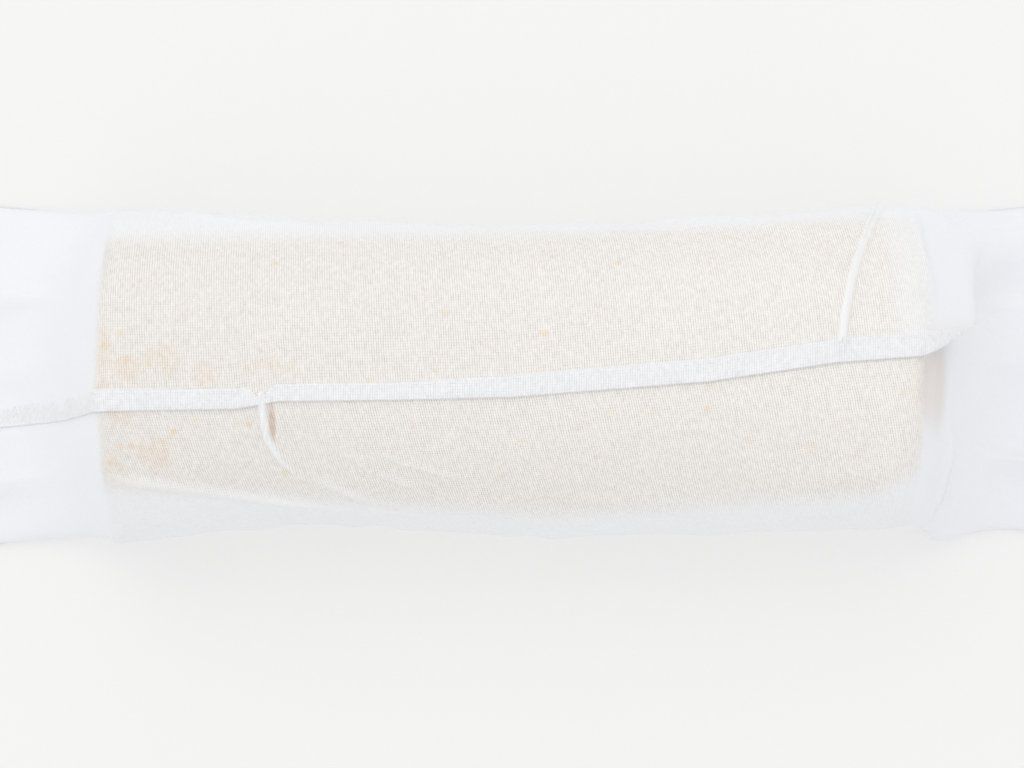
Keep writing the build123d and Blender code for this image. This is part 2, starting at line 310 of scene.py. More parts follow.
@dataclass(frozen=True)
class Drape:
    """The muslin as one sheet round the core: where each point of the cloth lies.

    A point of the sheet is (round, along): round is the length from the free edge, first over
    the back and on for a turn and four fifths, and along is the place on the cut cloth along X.
    A Span is where something starts and over what distance it comes in fully.

    Attributes:
        sizes: the roll's sizes.
        cloth_length: side of the square of muslin.
        flap_depth: mean cloth from the free edge to the flap's hinge line.
        slack: how much more a turn's mean radius is than the outer radius, as its sides hang out.
        tail_reach: cloth of a tail past the core's rim.
        thickness: the muslin's thickness.
        turn_gap: how much further in each turn lies than the one over it.
        hem_gap: what the hems between the turns add to that gap.
        hem_gap_span: where past the rim they add it.
        floor_gap: height of the lowest cloth.
        slope: sine of the angle at which the cloth falls past the rim.
        canopy_slope: the same where the outer turn stands off the right end.
        canopy_span: cloth from the free edge over which that canopy ends.
        rim_softness: how wide the bend over the rim is.
        hang_from: angles at the back and at the front where the cloth leaves the circle.
        hang_over: angle over which it comes out to its full width.
        hang_back_span: angle at which it comes in again under the roll.
        flap_lift: how far the free edge stands off the turn under it.
        flap_lift_over: how far in from the edge, and out past the rim, the lift dies out.
        tip_span: where along the right tail the hem's pointed end is tucked down.
        tip_depth: how far in from the free edge it is tucked.
        sink: how far the hem's end sinks into the tail.
        sink_span: where along the tail it sinks.
        sink_depth: how far in from the free edge it sinks.
        tail_flat: height of a tail at its end.
        tail_swell: what the tail has above that near the roll.
        tail_thin_span: where past the rim the swell goes.
        tail_fold_span: where past the rim the tail's folds come in.
        tail_ripple: height of the tail's waves.
        end_rest: how far the end hems lift the tail off the table.
        end_rest_span: where past the rim they lift it.
        tail_spread: how much wider a tail is at its end, as a share.
        lobe: how far the right tail's front bulges, as a share of its width.
        lobe_out: where past the rim the bulge lies, and its half length.
        lobe_turn: its angle from the top, and its half width.
        ripple: height of the ripples on the core and, added to that, beside it.
        ripple_out: how far past the rim they die out.
        edge_points: arc from the top line to the free edge, by place along the roll.
        back_points: the cloth's half width at the back, by place along the roll.
        front_points: its half width at the front.
        waves: ripples of the roll's cloth.
        tail_waves: waves of the tails.
        flap_folds: folds of the flap and of the turn that goes on from it.
        front_folds: folds of the turn that shows in front of the free edge.
        highlit_folds: the numbers of those that are faint creases, whose crests get a painted
            highlight.
        back_seen: angle at which the cloth leaves the core at the back.
        front_seen: angle at which it leaves the core at the front.
        leave_span: angle, less that one, at which the contact goes, and over what angle.
        clear: how much of the contact goes there; what stays keeps the hanging cloth a little
            cream and darker, as painted shade on the low sides.
        crest_span: height of a fold at which the contact under it goes, and over what height.
        askew: angle of the weave to the roll's axis, in degrees.
        pull: how much further askew the front's weave is pulled, per length.
        pull_from: share of a turn from the free edge at which that starts.
        left_tail_folds: folds that run out along the left tail.
        right_tail_folds: folds that run out along the right tail.
    """

    sizes: RollSizes
    cloth_length: float = 400.0
    flap_depth: float = 38.0
    slack: float = 1.2
    tail_reach: float = 110.0
    thickness: float = 0.26
    turn_gap: float = 0.45
    hem_gap: float = 0.9
    hem_gap_span: Span = (60.0, 40.0)
    floor_gap: float = 0.35
    slope: float = 0.93
    canopy_slope: float = 0.73
    canopy_span: Span = (38.0, 60.0)
    rim_softness: float = 1.3
    hang_from: tuple[float, float] = (54.0, 46.0)
    hang_over: float = 44.0
    hang_back_span: Span = (112.0, 60.0)
    flap_lift: float = 0.15
    flap_lift_over: tuple[float, float] = (12.0, 14.0)
    tip_span: Span = (109.0, 16.0)
    tip_depth: float = 34.0
    sink: float = 1.0
    sink_span: Span = (110.0, 10.0)
    sink_depth: float = 16.0
    tail_flat: float = 4.2
    tail_swell: float = 5.0
    tail_thin_span: Span = (50.0, 40.0)
    tail_fold_span: Span = (14.0, 50.0)
    tail_ripple: float = 1.5
    end_rest: float = 0.6
    end_rest_span: Span = (88.0, 14.0)
    tail_spread: float = 0.30
    lobe: float = 0.115
    lobe_out: tuple[float, float] = (33.0, 11.0)
    lobe_turn: tuple[float, float] = (-88.0, 30.0)
    ripple: tuple[float, float] = (0.12, 0.55)
    ripple_out: float = 12.0
    edge_points: Points = (
        (-200.0, -13.0), (-124.0, -10.4), (-88.0, -7.9), (-60.0, -7.4), (-51.0, -5.7),
        (-26.5, -5.4), (0.0, -4.7), (43.0, -1.2), (71.0, 3.1), (90.0, 4.6), (97.0, 6.6),
        (111.0, 12.1), (124.0, 12.8), (200.0, 9.0),
    )
    back_points: Points = (
        (-95.0, 39.3), (-70.0, 37.6), (-45.0, 35.8), (30.0, 35.6), (57.0, 37.4), (86.0, 39.3),
    )
    front_points: Points = (
        (-90.0, 38.6), (-72.0, 36.4), (-48.0, 34.6), (-26.0, 35.6), (0.0, 37.2), (40.0, 36.4),
        (80.0, 35.8), (91.0, 35.4),
    )
    waves: Ripple = Ripple(seed=7)
    tail_waves: Ripple = Ripple(seed=21, rounds=9, shortest=26.0, count=24)
    flap_folds: tuple[Fold, ...] = (
        Fold(((86.0, 58.0), (82.6, 46.0), (79.6, 38.0), (77.0, 30.0), (74.8, 22.0), (73.0, 14.0),
              (71.6, 4.5)), 1.7, 0.85, (0.05, 0.08)),
        Fold(((94.5, 58.0), (93.6, 34.0), (94.8, 12.0)), 0.9, 1.3),
        Fold(((95.0, 54.0), (112.0, 47.0)), 0.9, 1.4),
        Fold(((-34.0, 48.0), (-24.0, 24.0)), 0.35, 3.0),
        Fold(((18.0, 50.0), (33.0, 18.0)), 0.3, 4.0),
        Fold(((-84.0, 54.0), (-60.0, 46.0), (-40.0, 47.0)), 0.7, 2.2),
    )
    front_folds: tuple[Fold, ...] = (
        Fold(((-54.6, -3.0), (-54.3, -9.0), (-53.4, -15.2), (-50.8, -20.6), (-46.8, -25.9),
              (-42.0, -29.5), (-36.0, -32.0)), 1.7, 0.72, (0.04, 0.9)),
        Fold(((-93.0, -26.5), (-82.0, -27.6), (-70.0, -30.0), (-56.0, -33.4), (-42.0, -37.4),
              (-30.0, -41.0)), 0.9, 1.5, (0.2, 0.3)),
        Fold(((-36.0, -19.0), (-30.0, -24.5), (-24.0, -28.0), (-16.0, -31.0)), 0.7, 0.8),
        Fold(((-30.0, -18.0), (-24.0, -21.5), (-15.0, -25.0), (-7.0, -27.0)), 0.6, 0.7),
        Fold(((-46.0, -24.0), (-37.0, -31.0), (-26.0, -38.0)), 0.6, 1.4),
        Fold(((8.0, -33.0), (46.0, -36.0)), 0.5, 2.4),
        Fold(((58.0, -31.0), (90.0, -21.0)), 0.5, 2.8),
        Fold(((96.2, 8.0), (95.8, -4.0), (97.0, -16.0)), -2.6, 2.5),
        Fold(((121.0, -10.0), (119.0, -20.0), (114.0, -34.0), (108.0, -50.0)), 1.8, 2.2),
    )
    highlit_folds: tuple[int, ...] = (1, 2, 3, 4)
    back_seen: Points = ((-90.0, 61.0), (0.0, 67.0), (90.0, 76.0))
    front_seen: Points = (
        (-88.0, 46.0), (-70.0, 49.0), (-42.0, 55.0), (-17.0, 59.0), (11.0, 63.0), (42.0, 57.0),
        (80.0, 52.0), (91.0, 38.0),
    )
    leave_span: Span = (-7.0, 16.0)
    # The contact that stays past the leaving angles is painted shade on the low sides.
    clear: float = 0.80
    crest_span: Span = (0.5, 1.2)
    askew: float = 3.8
    pull: float = 0.14
    pull_from: float = 0.74
    left_tail_folds: tuple[TailFold, ...] = (
        TailFold(-0.62, -0.80, 2.2, 0.07),
        TailFold(-0.30, -0.38, 1.3, 0.06),
        TailFold(0.12, -0.05, 1.5, 0.10),
        TailFold(0.45, 0.62, 2.4, 0.07),
        TailFold(0.72, 0.30, 1.6, 0.06),
    )
    right_tail_folds: tuple[TailFold, ...] = (
        TailFold(-0.80, -0.35, 3.6, 0.09),
        TailFold(-0.30, -0.72, 2.0, 0.08),
        TailFold(0.15, 0.02, 1.6, 0.07),
        TailFold(0.55, 0.35, 2.2, 0.08),
        TailFold(0.80, 0.78, 1.4, 0.05),
    )

    @property
    def around(self) -> float:
        """Cloth in one whole turn."""
        return 2.0 * math.pi * (self.sizes.outer_radius + self.slack)

    @property
    def per_turn(self) -> float:
        """Cloth per radian of turn."""
        return self.around / (2.0 * math.pi)

    def edge_arc(self, along: Array) -> Array:
        """Arc from the top line to the free edge, growing to the back."""
        return between(along, self.edge_points)

    def hinge_round(self, along: Array) -> Array:
        """Cloth from the free edge to the flap's hinge line."""
        return self.sizes.hinge_turn * self.per_turn - self.edge_arc(along)

    def turn(self, round_: Array, along: Array) -> Array:
        """Angle from the top of a point of the sheet, growing to the back."""
        return (self.edge_arc(along) + round_) / self.per_turn

    def _out(self, along: Array) -> Array:
        """Cloth past the core's rim, 0 on the roll."""
        return np.maximum(np.abs(along) - self.sizes.half_core, 0.0)

    def _on_flap(self, round_: Array) -> Array:
        """Whether a point lies in the half turn after the free edge."""
        return round_ < self.around / 2.0

    def _in_front(self, round_: Array) -> Array:
        """Whether a point lies in the turn that shows in front of the free edge."""
        return (round_ > self.around * 0.6) & (round_ < self.around * 1.05)

    def _section(self, turn: Array, along: Array) -> tuple[Array, Array]:
        """Cross-section: a circle over the top, which hangs out past it at both sides and lies
        flat underneath. The sides' half widths follow the back and front points.

        Args:
            turn: angle from the top.
            along: place along the roll.

        Returns:
            Places across the roll, and heights.
        """
        radius = self.sizes.outer_radius - self.thickness / 2.0
        sine, angle = np.sin(turn), from_top(turn)
        back, front = between(along, self.back_points), between(along, self.front_points)
        half = np.where(sine > 0.0, back, front)
        start = np.where(sine > 0.0, *self.hang_from)
        hang = rise(angle, start, self.hang_over) * (1.0 - rise(angle, *self.hang_back_span))
        side = np.sign(sine) * (half - radius) * hang
        height = self.sizes.axis_height + radius * np.cos(turn)
        return radius * sine + side, self.floor_gap + soft_positive(height - self.floor_gap, 0.5)

    def _tail_height(self, turn: Array, out: Array, along: Array) -> Array:
        """Height of the flattened tail: a low pillow that thins towards its end, with soft folds
        that fan out along it. The lower half lies on the table.

        Args:
            turn: angle from the top.
            out: cloth past the core's rim.
            along: place along the roll, for its side.

        Returns:
            The heights.
        """
        upper = np.maximum(np.cos(turn), 0.0)
        across = np.sin(turn)
        thin_from, thin_over = self.tail_thin_span
        swell = np.exp(-soft_positive(out - thin_from, 6.0) / thin_over)
        pillow = self.tail_flat + self.tail_swell * swell
        ease = rise(out, *self.tail_fold_span)
        folds = np.zeros(np.shape(turn))
        for side, rows in ((-1.0, self.left_tail_folds), (1.0, self.right_tail_folds)):
            here = np.zeros(np.shape(turn))
            for fold in rows:
                line = np.clip(out / self.tail_reach, 0.0, 1.0)
                line = fold.root + (fold.end - fold.root) * line
                here += fold.height * bell((across - line) / fold.width)
            folds = np.where(along * side > 0.0, here, folds)
        waves = self.tail_ripple * self.tail_waves.height(turn, along) * ease
        rest = self.floor_gap + self.end_rest * rise(out, *self.end_rest_span)
        return rest + (pillow + folds * ease + waves) * upper**0.7

    def _canopy(self, round_: Array, along: Array) -> Array:
        """1 where the outer turn stands off the right end as a canopy, 0 elsewhere."""
        stand = 1.0 - rise(round_, *self.canopy_span)
        tucked = rise(along, *self.tip_span) * (1.0 - smooth(round_ / self.tip_depth))
        return np.where(along > 0.0, stand * (1.0 - tucked), 0.0)

    def _lobe(self, turn: Array, out: Array, along: Array) -> Array:
        """Widening of the right tail where its front bulges: one bell along it and one round it.

        Args:
            turn: angle from the top.
            out: cloth past the core's rim.
            along: place along the roll, for its side.

        Returns:
            What the width is multiplied by.
        """
        middle, length = self.lobe_out
        bulge = np.where(along > 0.0, self.lobe, 0.0) * bell((out - middle) / length)
        middle, width = self.lobe_turn
        return 1.0 + bulge * bell((np.degrees(np.angle(np.exp(1j * turn))) - middle) / width)

    def _base(self, round_: Array, along: Array) -> Array:
        """The drape before its small relief. Past the core's rim the cloth runs down a slope
        until it meets the flattened tail: the length run down is out / (1 + (out / fall)^6)^(1/6),
        the softened lesser of the two, and the rest lies along the table.

        Args:
            round_: cloth from the free edge.
            along: place on the cloth along the roll.

        Returns:
            Points in millimetres.
        """
        turn = self.turn(round_, along)
        side, away = np.sign(along), np.abs(along)
        out = soft_positive(away - self.sizes.half_core, self.rim_softness)
        inside = away - self.sizes.half_core - out
        across, height = self._section(turn, along)
        slope = self.slope + (self.canopy_slope - self.slope) * self._canopy(round_, along)
        fall = np.maximum(height - self._tail_height(turn, out, along), 0.05) / slope
        down = out / (1.0 + (out / fall) ** 6) ** (1.0 / 6.0)
        reach = self.sizes.half_core + inside + np.sqrt(1.0 - slope**2) * down + (out - down)
        widen = 1.0 + self.tail_spread * (out / self.tail_reach) ** 2.2
        across = across * widen * self._lobe(turn, out, along)
        return np.stack([side * reach, across, height - slope * down], -1)

    def _relief(self, round_: Array, along: Array) -> Array:
        """Outward move of the cloth: ripples that are stronger beside the core than on it, the
        raised free edge, and the folds of each turn.

        Args:
            round_: cloth from the free edge.
            along: place on the cloth along the roll.

        Returns:
            The moves in millimetres.
        """
        turn, out = self.turn(round_, along), self._out(along)
        on_core, beside = self.ripple
        loose = on_core + beside * rise(np.abs(np.sin(turn / 2.0)), 0.45, 0.3)
        loose = loose * (1.0 - rise(-np.abs(np.cos(turn / 2.0)), -0.25, 0.2))
        fading = 1.0 - smooth(out / self.ripple_out)
        move = loose * self.waves.height(turn, along) * fading
        arc = round_ + self.edge_arc(along)
        first, last = self._on_flap(round_), self._in_front(round_)
        for fold in self.flap_folds:
            move += np.where(first, fold.raised(arc, along), 0.0)
        for fold in self.front_folds:
            move += np.where(last, fold.raised(arc - self.around, along), 0.0)
        in_over, out_over = self.flap_lift_over
        free = self.flap_lift * (1.0 - smooth(out / out_over))
        move += free * (1.0 - smooth(round_ / in_over))
        sunk = rise(along, *self.sink_span) * (1.0 - smooth(round_ / self.sink_depth))
        return move - self.sink * sunk

    def _gap(self, round_: Array, along: Array) -> Array:
        """How far a turn lies inside the first one; more at the tails' ends, for the hems."""
        gap = self.turn_gap + self.hem_gap * rise(self._out(along), *self.hem_gap_span)
        return gap * round_ / self.around

    def normal(self, round_: Array, along: Array) -> Array:
        """Outward normal: the cross product of the drape's two central differences.

        Args:
            round_: cloth from the free edge.
            along: place on the cloth along the roll.

        Returns:
            Unit vectors.
        """
        step = 0.25
        down = self._base(round_ + step, along) - self._base(round_ - step, along)
        over = self._base(round_, along + step) - self._base(round_, along - step)
        cross = np.cross(over, down)
        return cross / np.maximum(np.linalg.norm(cross, axis=-1, keepdims=True), 1e-9)

    def surface(self, round_: Array, along: Array, proud: Array | float = 0.0) -> Array:
        """Place of points of the sheet: the drape, moved along its normal by the relief and by
        the turn's own depth.

        Args:
            round_: cloth from the free edge.
            along: place on the cloth along the roll.
            proud: extra height above the cloth's middle.

        Returns:
            Points in metres, never below the table.
        """
        round_, along = np.broadcast_arrays(np.asarray(round_, float), np.asarray(along, float))
        move = self._relief(round_, along) - self._gap(round_, along) + proud
        points = self._base(round_, along) + self.normal(round_, along) * move[..., None]
        points[..., 2] = np.maximum(points[..., 2], self.thickness * 0.6)
        return points * MM

    def contact(self, round_: Array, along: Array) -> Array:
        """1 where the cloth touches the core and 0 where it hangs clear: past the angles to the
        back and front where it leaves the core, on a fold's crest, and past the core's rims.

        Args:
            round_: cloth from the free edge.
            along: place on the cloth along the roll.

        Returns:
            Shares from 0 to 1.
        """
        turn = self.turn(round_, along)
        back, front = between(along, self.back_seen), between(along, self.front_seen)
        angle = from_top(turn)
        leaves = np.where(np.sin(turn) > 0.0, back, front)
        touch = 1.0 - self.clear * rise(angle - leaves, *self.leave_span)
        under = 1.0 - rise(np.maximum(self._relief(round_, along), 0.0), *self.crest_span)
        half = self.sizes.half_core
        over = smooth((self.around / 2.0 - round_) / 8.0)
        right = 1.0 - 0.55 * over * rise(along - half, -9.0, 7.0)
        right = right * (1.0 - smooth((along - half + 1.0 - 2.0 * over) / 4.5))
        left = 1.0 - smooth((-along - half + 1.2 - 2.5 * rise(angle, 20.0, 50.0)) / 5.2)
        return touch * right * left * (0.35 + 0.65 * under)

    def doubled(self, round_: Array, along: Array) -> Array:
        """1 on the crest of a pleat, where the cloth is folded on itself, less on a faint crease's
        crest, where it is a painted highlight, and 0 elsewhere.

        Args:
            round_: cloth from the free edge.
            along: place on the cloth along the roll.

        Returns:
            Shares from 0 to 1.
        """
        arc = round_ + self.edge_arc(along)
        in_front = self._in_front(round_)
        pleat, dart = self.flap_folds[0], self.front_folds[0]
        first = np.where(self._on_flap(round_), pleat.crest(arc, along), 0.0)
        second = np.where(in_front, dart.crest(arc - self.around, along), 0.0)
        # Painted highlight: the faint creases' crests are made whiter and more opaque, so that
        # they show under the soft light.
        soft = [self.front_folds[number].crest(arc - self.around, along)
                for number in self.highlit_folds]
        crease = np.where(in_front, np.max(soft, 0), 0.0)
        return np.maximum(rise(np.maximum(first, second), 0.20, 0.45), 0.45 * smooth(crease))

    def weave(self, round_: Array, along: Array) -> Array:
        """Weave coordinates, in WEAVE_UNIT millimetres: the cloth lies a little askew on the roll,
        and the turn that shows in front of the free edge is pulled further askew.

        Args:
            round_: cloth from the free edge.
            along: place on the cloth along the roll.

        Returns:
            (across the round threads, along them) for each point.
        """
        pulled = soft_positive(round_ - self.pull_from * self.around, 4.0)
        across = along + math.tan(math.radians(self.askew)) * round_ + self.pull * pulled
        return np.stack([across, round_], -1) / WEAVE_UNIT


# ---- meshes -------------------------------------------------------------------------------------

@dataclass
class Workshop:
    """Puts arrays into meshes and joins the pieces to the frame.

    Attributes:
        drape: the sheet that cloth, hems and stitches are cut from.
        hem_corners: corners of a hem's cross-section.
        hem_height: a hem's height at its inner side.
        hem_roll: what its rolled outer side adds to that.
        hem_lift: height of the hem's middle above the cloth's.
        hem_root: how far a hem reaches down from there.
        pucker: how much the thread draws the hem in, as a share of its height.
        swell: how much its height varies slowly, as a share.
        stitch_length: length of a stitch.
        stitch_width: width of the thread.
        stitch_arch: how far a stitch's middle stands up.
    """

    drape: Drape
    hem_corners: int = 14
    hem_height: float = 0.20
    hem_roll: float = 0.16
    hem_lift: float = 0.10
    hem_root: float = 0.52
    pucker: float = 0.13
    swell: float = 0.16
    stitch_length: float = 2.0
    stitch_width: float = 0.22
    stitch_arch: float = 0.07

    def mesh(self, name: str, points: Array, faces: Array, finish: bpy.types.Material,
             uv: Array | None = None,
             marks: dict[str, Array] | None = None) -> bpy.types.Object:
        """Make a smooth-shaded object at the origin.

        Args:
            name: the piece's name.
            points: places in metres, one row each.
            faces: four or three point numbers per row.
            finish: its material.
            uv: weave coordinates of the points.
            marks: numbers of the points by attribute name.

        Returns:
            The new object, linked to the scene.
        """
        data = bpy.data.meshes.new(name)
        data.from_pydata(points.reshape(-1, 3), [], faces.tolist())
        data.polygons.foreach_set("use_smooth", np.ones(len(data.polygons), bool))
        if uv is not None:
            loops = np.empty(len(data.loops), np.int32)
            data.loops.foreach_get("vertex_index", loops)
            layer = data.uv_layers.new(name="weave")
            layer.data.foreach_set("uv", uv.reshape(-1, 2)[loops].astype(np.float32).ravel())
        for mark, values in (marks or {}).items():
            layer = data.attributes.new(mark, "FLOAT", "POINT")
            layer.data.foreach_set("value", values.astype(np.float32).ravel())
        data.materials.append(finish)
        data.update()
        piece = bpy.data.objects.new(name, data)
        bpy.context.scene.collection.objects.link(piece)
        return piece

    @staticmethod
    def grid_faces(rows: int, columns: int, closed: bool = False) -> Array:
        """Faces of a grid of points stored row by row.

        Args:
            rows: points in the first direction.
            columns: points in the second direction.
            closed: whether the last column joins the first.

        Returns:
            Four point numbers per face.
        """
        index = np.arange(rows * columns).reshape(rows, columns)
        if closed:
            index = np.concatenate([index, index[:, :1]], 1)
        corners = [index[:-1, :-1], index[:-1, 1:], index[1:, 1:], index[1:, :-1]]
        return np.stack(corners, -1).reshape(-1, 4)

    def cloth(self, name: str, round_: Array, along: Array,
              finish: bpy.types.Material) -> bpy.types.Object:
        """A piece of the sheet with its real thickness.

        Args:
            name: the piece's name.
            round_: grid of cloth lengths from the free edge.
            along: grid of places along the roll.
            finish: its material.

        Returns:
            The piece, closed by a Solidify modifier.
        """
        drape = self.drape
        points = drape.surface(round_, along)
        piece = self.mesh(
            name, points, self.grid_faces(*round_.shape)[:, ::-1], finish,
            drape.weave(round_, along),
            {"contact": drape.contact(round_, along), "doubled": drape.doubled(round_, along)},
        )
        rest = piece.data.attributes.new("rest", "FLOAT_VECTOR", "POINT")
        rest.data.foreach_set("vector", points.astype(np.float32).ravel())
        self._sharpen_border(piece)
        wall = piece.modifiers.new("thickness", "SOLIDIFY")
        wall.thickness = drape.thickness * MM
        wall.offset = 0.0
        return piece

    @staticmethod
    def _sharpen_border(piece: bpy.types.Object) -> None:
        """Mark the open border sharp, so that a neighbour's shading runs on across the cut.

        Args:
            piece: the cloth piece.
        """
        data = piece.data
        loop_edges = np.empty(len(data.loops), np.int32)
        data.loops.foreach_get("edge_index", loop_edges)
        uses = np.bincount(loop_edges, minlength=len(data.edges))
        data.edges.foreach_set("use_edge_sharp", uses == 1)

    def strip(self, name: str, path: Array, width: Array, place: Callable[..., Array],
              finish: bpy.types.Material, uv_turn: bool = False) -> bpy.types.Object:
        """A closed hem: a flattened oval carried along a path on the cloth, capped at both ends.

        The oval is (half width times the signed root of cos, height times the signed power of
        sin), with small puckers along the path where the thread draws it in.

        Args:
            name: the piece's name.
            path: places along the path.
            width: the hem's width at each place.
            place: gives points from (path, across, proud).
            finish: its material.
            uv_turn: whether the weave runs across the path.

        Returns:
            The hem.
        """
        corners = self.hem_corners
        angle = np.arange(corners) * 2.0 * math.pi / corners
        across = np.sign(np.cos(angle)) * np.abs(np.cos(angle)) ** 0.55
        height = np.sign(np.sin(angle)) * np.abs(np.sin(angle)) ** 0.75
        run = path[:, None]
        pucker = 1.0 + self.pucker * np.sin(run * 2.24 + 1.3 * np.sin(run * 0.37))
        swell = 1.0 + self.swell * np.sin(run * 0.29 + 1.1) * np.sin(run * 0.113)
        side = width[:, None] / 2.0 * (1.0 + across[None, :] * 1.04)
        outer = 1.0 - np.clip(side / width[:, None], 0.0, 1.0)
        thick = self.hem_height + self.hem_roll * outer
        upper = thick * np.maximum(height, 0.0)[None, :] * pucker * swell
        proud = self.hem_lift + upper + self.hem_root * np.minimum(height, 0.0)[None, :]
        points = place(run + 0.0 * side, side, proud)
        rows = len(path)
        ends = np.stack([points[0].mean(0), points[-1].mean(0)])
        faces = self.grid_faces(rows, corners, closed=True).tolist()
        ring = np.arange(corners)
        last = (rows - 1) * corners
        first_cap, last_cap = rows * corners, rows * corners + 1
        following = np.roll(ring, -1)
        faces += np.stack([following, ring, np.full(corners, first_cap)], -1).tolist()
        faces += np.stack([ring + last, following + last, np.full(corners, last_cap)], -1).tolist()
        uv = np.stack([run + 0.0 * side, side], -1) / WEAVE_UNIT
        if uv_turn:
            uv = uv[..., ::-1]
        uv = np.concatenate([uv.reshape(-1, 2), uv[0, :1], uv[-1, :1]])
        data = np.concatenate([points.reshape(-1, 3), ends])
        piece = self.mesh(name, data, np.array(faces, dtype=object), finish, uv)
        self.face_outwards(piece)
        return piece

    def stitches(self, name: str, middles: Array, place: Callable[..., Array],
                 finish: bpy.types.Material) -> bpy.types.Object:
        """A row of machine stitches: each a small closed spindle whose ends dip into the cloth.

        The spindle is a ring of six carried over five places, its radius the root of one less
        the place squared, and its middle line an arch.

        Args:
            name: the piece's name.
            middles: places of the stitches along the path.
            place: gives points from (path, across, proud).
            finish: its material.

        Returns:
            The stitches as one piece.
        """
        ring, steps = 6, 5
        station = np.linspace(-0.92, 0.92, steps)
        radius = np.sqrt(1.0 - station**2) * self.stitch_width / 2.0
        angle = np.arange(ring) * 2.0 * math.pi / ring
        run = middles[:, None, None] + station[None, :, None] * self.stitch_length / 2.0
        run = np.broadcast_to(run, (len(middles), steps, ring))
        across = np.broadcast_to(radius[:, None] * np.cos(angle)[None, :], run.shape)
        arch = self.stitch_arch * (1.0 - station**2)[:, None]
        arch = arch + radius[:, None] * np.sin(angle)[None, :]
        points = place(run, across, np.broadcast_to(arch, run.shape)).reshape(-1, 3)
        one = self.grid_faces(steps, ring, closed=True)
        block = steps * ring
        starts = np.arange(len(middles)) * block
        sides = (one[None] + starts[:, None, None]).reshape(-1, 4).tolist()
        caps = np.stack([np.arange(ring), np.arange(ring)[::-1] + block - ring])
        caps = (caps[None] + starts[:, None, None]).reshape(-1, ring).tolist()
        piece = self.mesh(name, points, np.array(sides + caps, dtype=object), finish)
        self.face_outwards(piece)
        return piece

    @staticmethod
    def face_outwards(piece: bpy.types.Object) -> None:
        """Turn a closed mesh the right way out: its signed volume has to be above 0.

        Args:
            piece: the closed piece.
        """
        data = piece.data
        data.calc_loop_triangles()
        points = np.empty(len(data.vertices) * 3)
        data.vertices.foreach_get("co", points)
        corners = np.empty(len(data.loop_triangles) * 3, np.int32)
        data.loop_triangles.foreach_get("vertices", corners)
        a, b, c = points.reshape(-1, 3)[corners].reshape(-1, 3, 3).transpose(1, 0, 2)
        if float(np.einsum("ij,ij->i", a, np.cross(b, c)).sum()) < 0.0:
            data.flip_normals()

    @staticmethod
    def join_to_frame(piece: bpy.types.Object, slot: str, bodies: Sequence[Body],
                      span: tuple[float, float] = (0.0, 0.0), nodes: Sequence[str] = ()) -> None:
        """Ride a piece on one body, or, for two bodies, bake its place into its points and leave
        it unparented.

        Args:
            piece: the piece.
            slot: the record's material slot.
            bodies: one body, or the two that it joins.
            span: not used.
            nodes: the CAD nodes that it stands for.
        """
        if len(bodies) == 1:
            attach(piece, bodies[0].value)
        else:
            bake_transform(piece)
        if nodes:
            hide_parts(*nodes)
        log.info("%s: %d points, %s", piece.name, len(piece.data.vertices), slot)


# ---- shader maths -------------------------------------------------------------------------------

class Value:
    """A number that varies over a surface: a node's output socket with Python's operators."""

    def __init__(self, recipe: Recipe, socket: bpy.types.NodeSocket) -> None:
        """Wrap one output socket of a recipe."""
        self.recipe = recipe
        self.socket = socket

    def _math(self, operation: str, *others: Value | float) -> Value:
        """One Math node with this value first."""
        return self.recipe.math(operation, self, *others)

    def __add__(self, other: Value | float) -> Value:
        """Sum."""
        return self._math("ADD", other)

    __radd__ = __add__

    def __sub__(self, other: Value | float) -> Value:
        """Difference."""
        return self._math("SUBTRACT", other)

    def __rsub__(self, other: float) -> Value:
        """A number less this value."""
        return self.recipe.math("SUBTRACT", other, self)

    def __mul__(self, other: Value | float) -> Value:
        """Product."""
        return self._math("MULTIPLY", other)

    __rmul__ = __mul__

    def __truediv__(self, other: Value | float) -> Value:
        """Quotient."""
        return self._math("DIVIDE", other)

    def floor(self) -> Value:
        """Whole part."""
        return self._math("FLOOR")

    def fraction(self) -> Value:
        """What is left over the whole part."""
        return self._math("FRACT")

    def size(self) -> Value:
        """Value without its sign."""
        return self._math("ABSOLUTE")

    def most(self, other: Value | float) -> Value:
        """The larger of two."""
        return self._math("MAXIMUM", other)

    def clamp(self) -> Value:
        """Held between 0 and 1."""
        return self.recipe.node("ShaderNodeClamp", {}, {"Value": self}).out("Result")

    def ease(self, low: float, high: float) -> Value:
        """0 below low and 1 above high, eased between.

        Args:
            low: where the ease starts.
            high: where it ends.

        Returns:
            The eased value.
        """
        step = {"interpolation_type": "SMOOTHSTEP"}
        sockets = {"Value": self, "From Min": low, "From Max": high}
        return self.recipe.node("ShaderNodeMapRange", step, sockets).out("Result")


class Made:
    """A node that a recipe has made."""

    def __init__(self, recipe: Recipe, node: bpy.types.Node) -> None:
        """Keep the node and its recipe."""
        self.recipe = recipe
        self.node = node

    def out(self, name: str | int = 0) -> Value:
        """One of the node's outputs by name or number."""
        return Value(self.recipe, self.node.outputs[name])


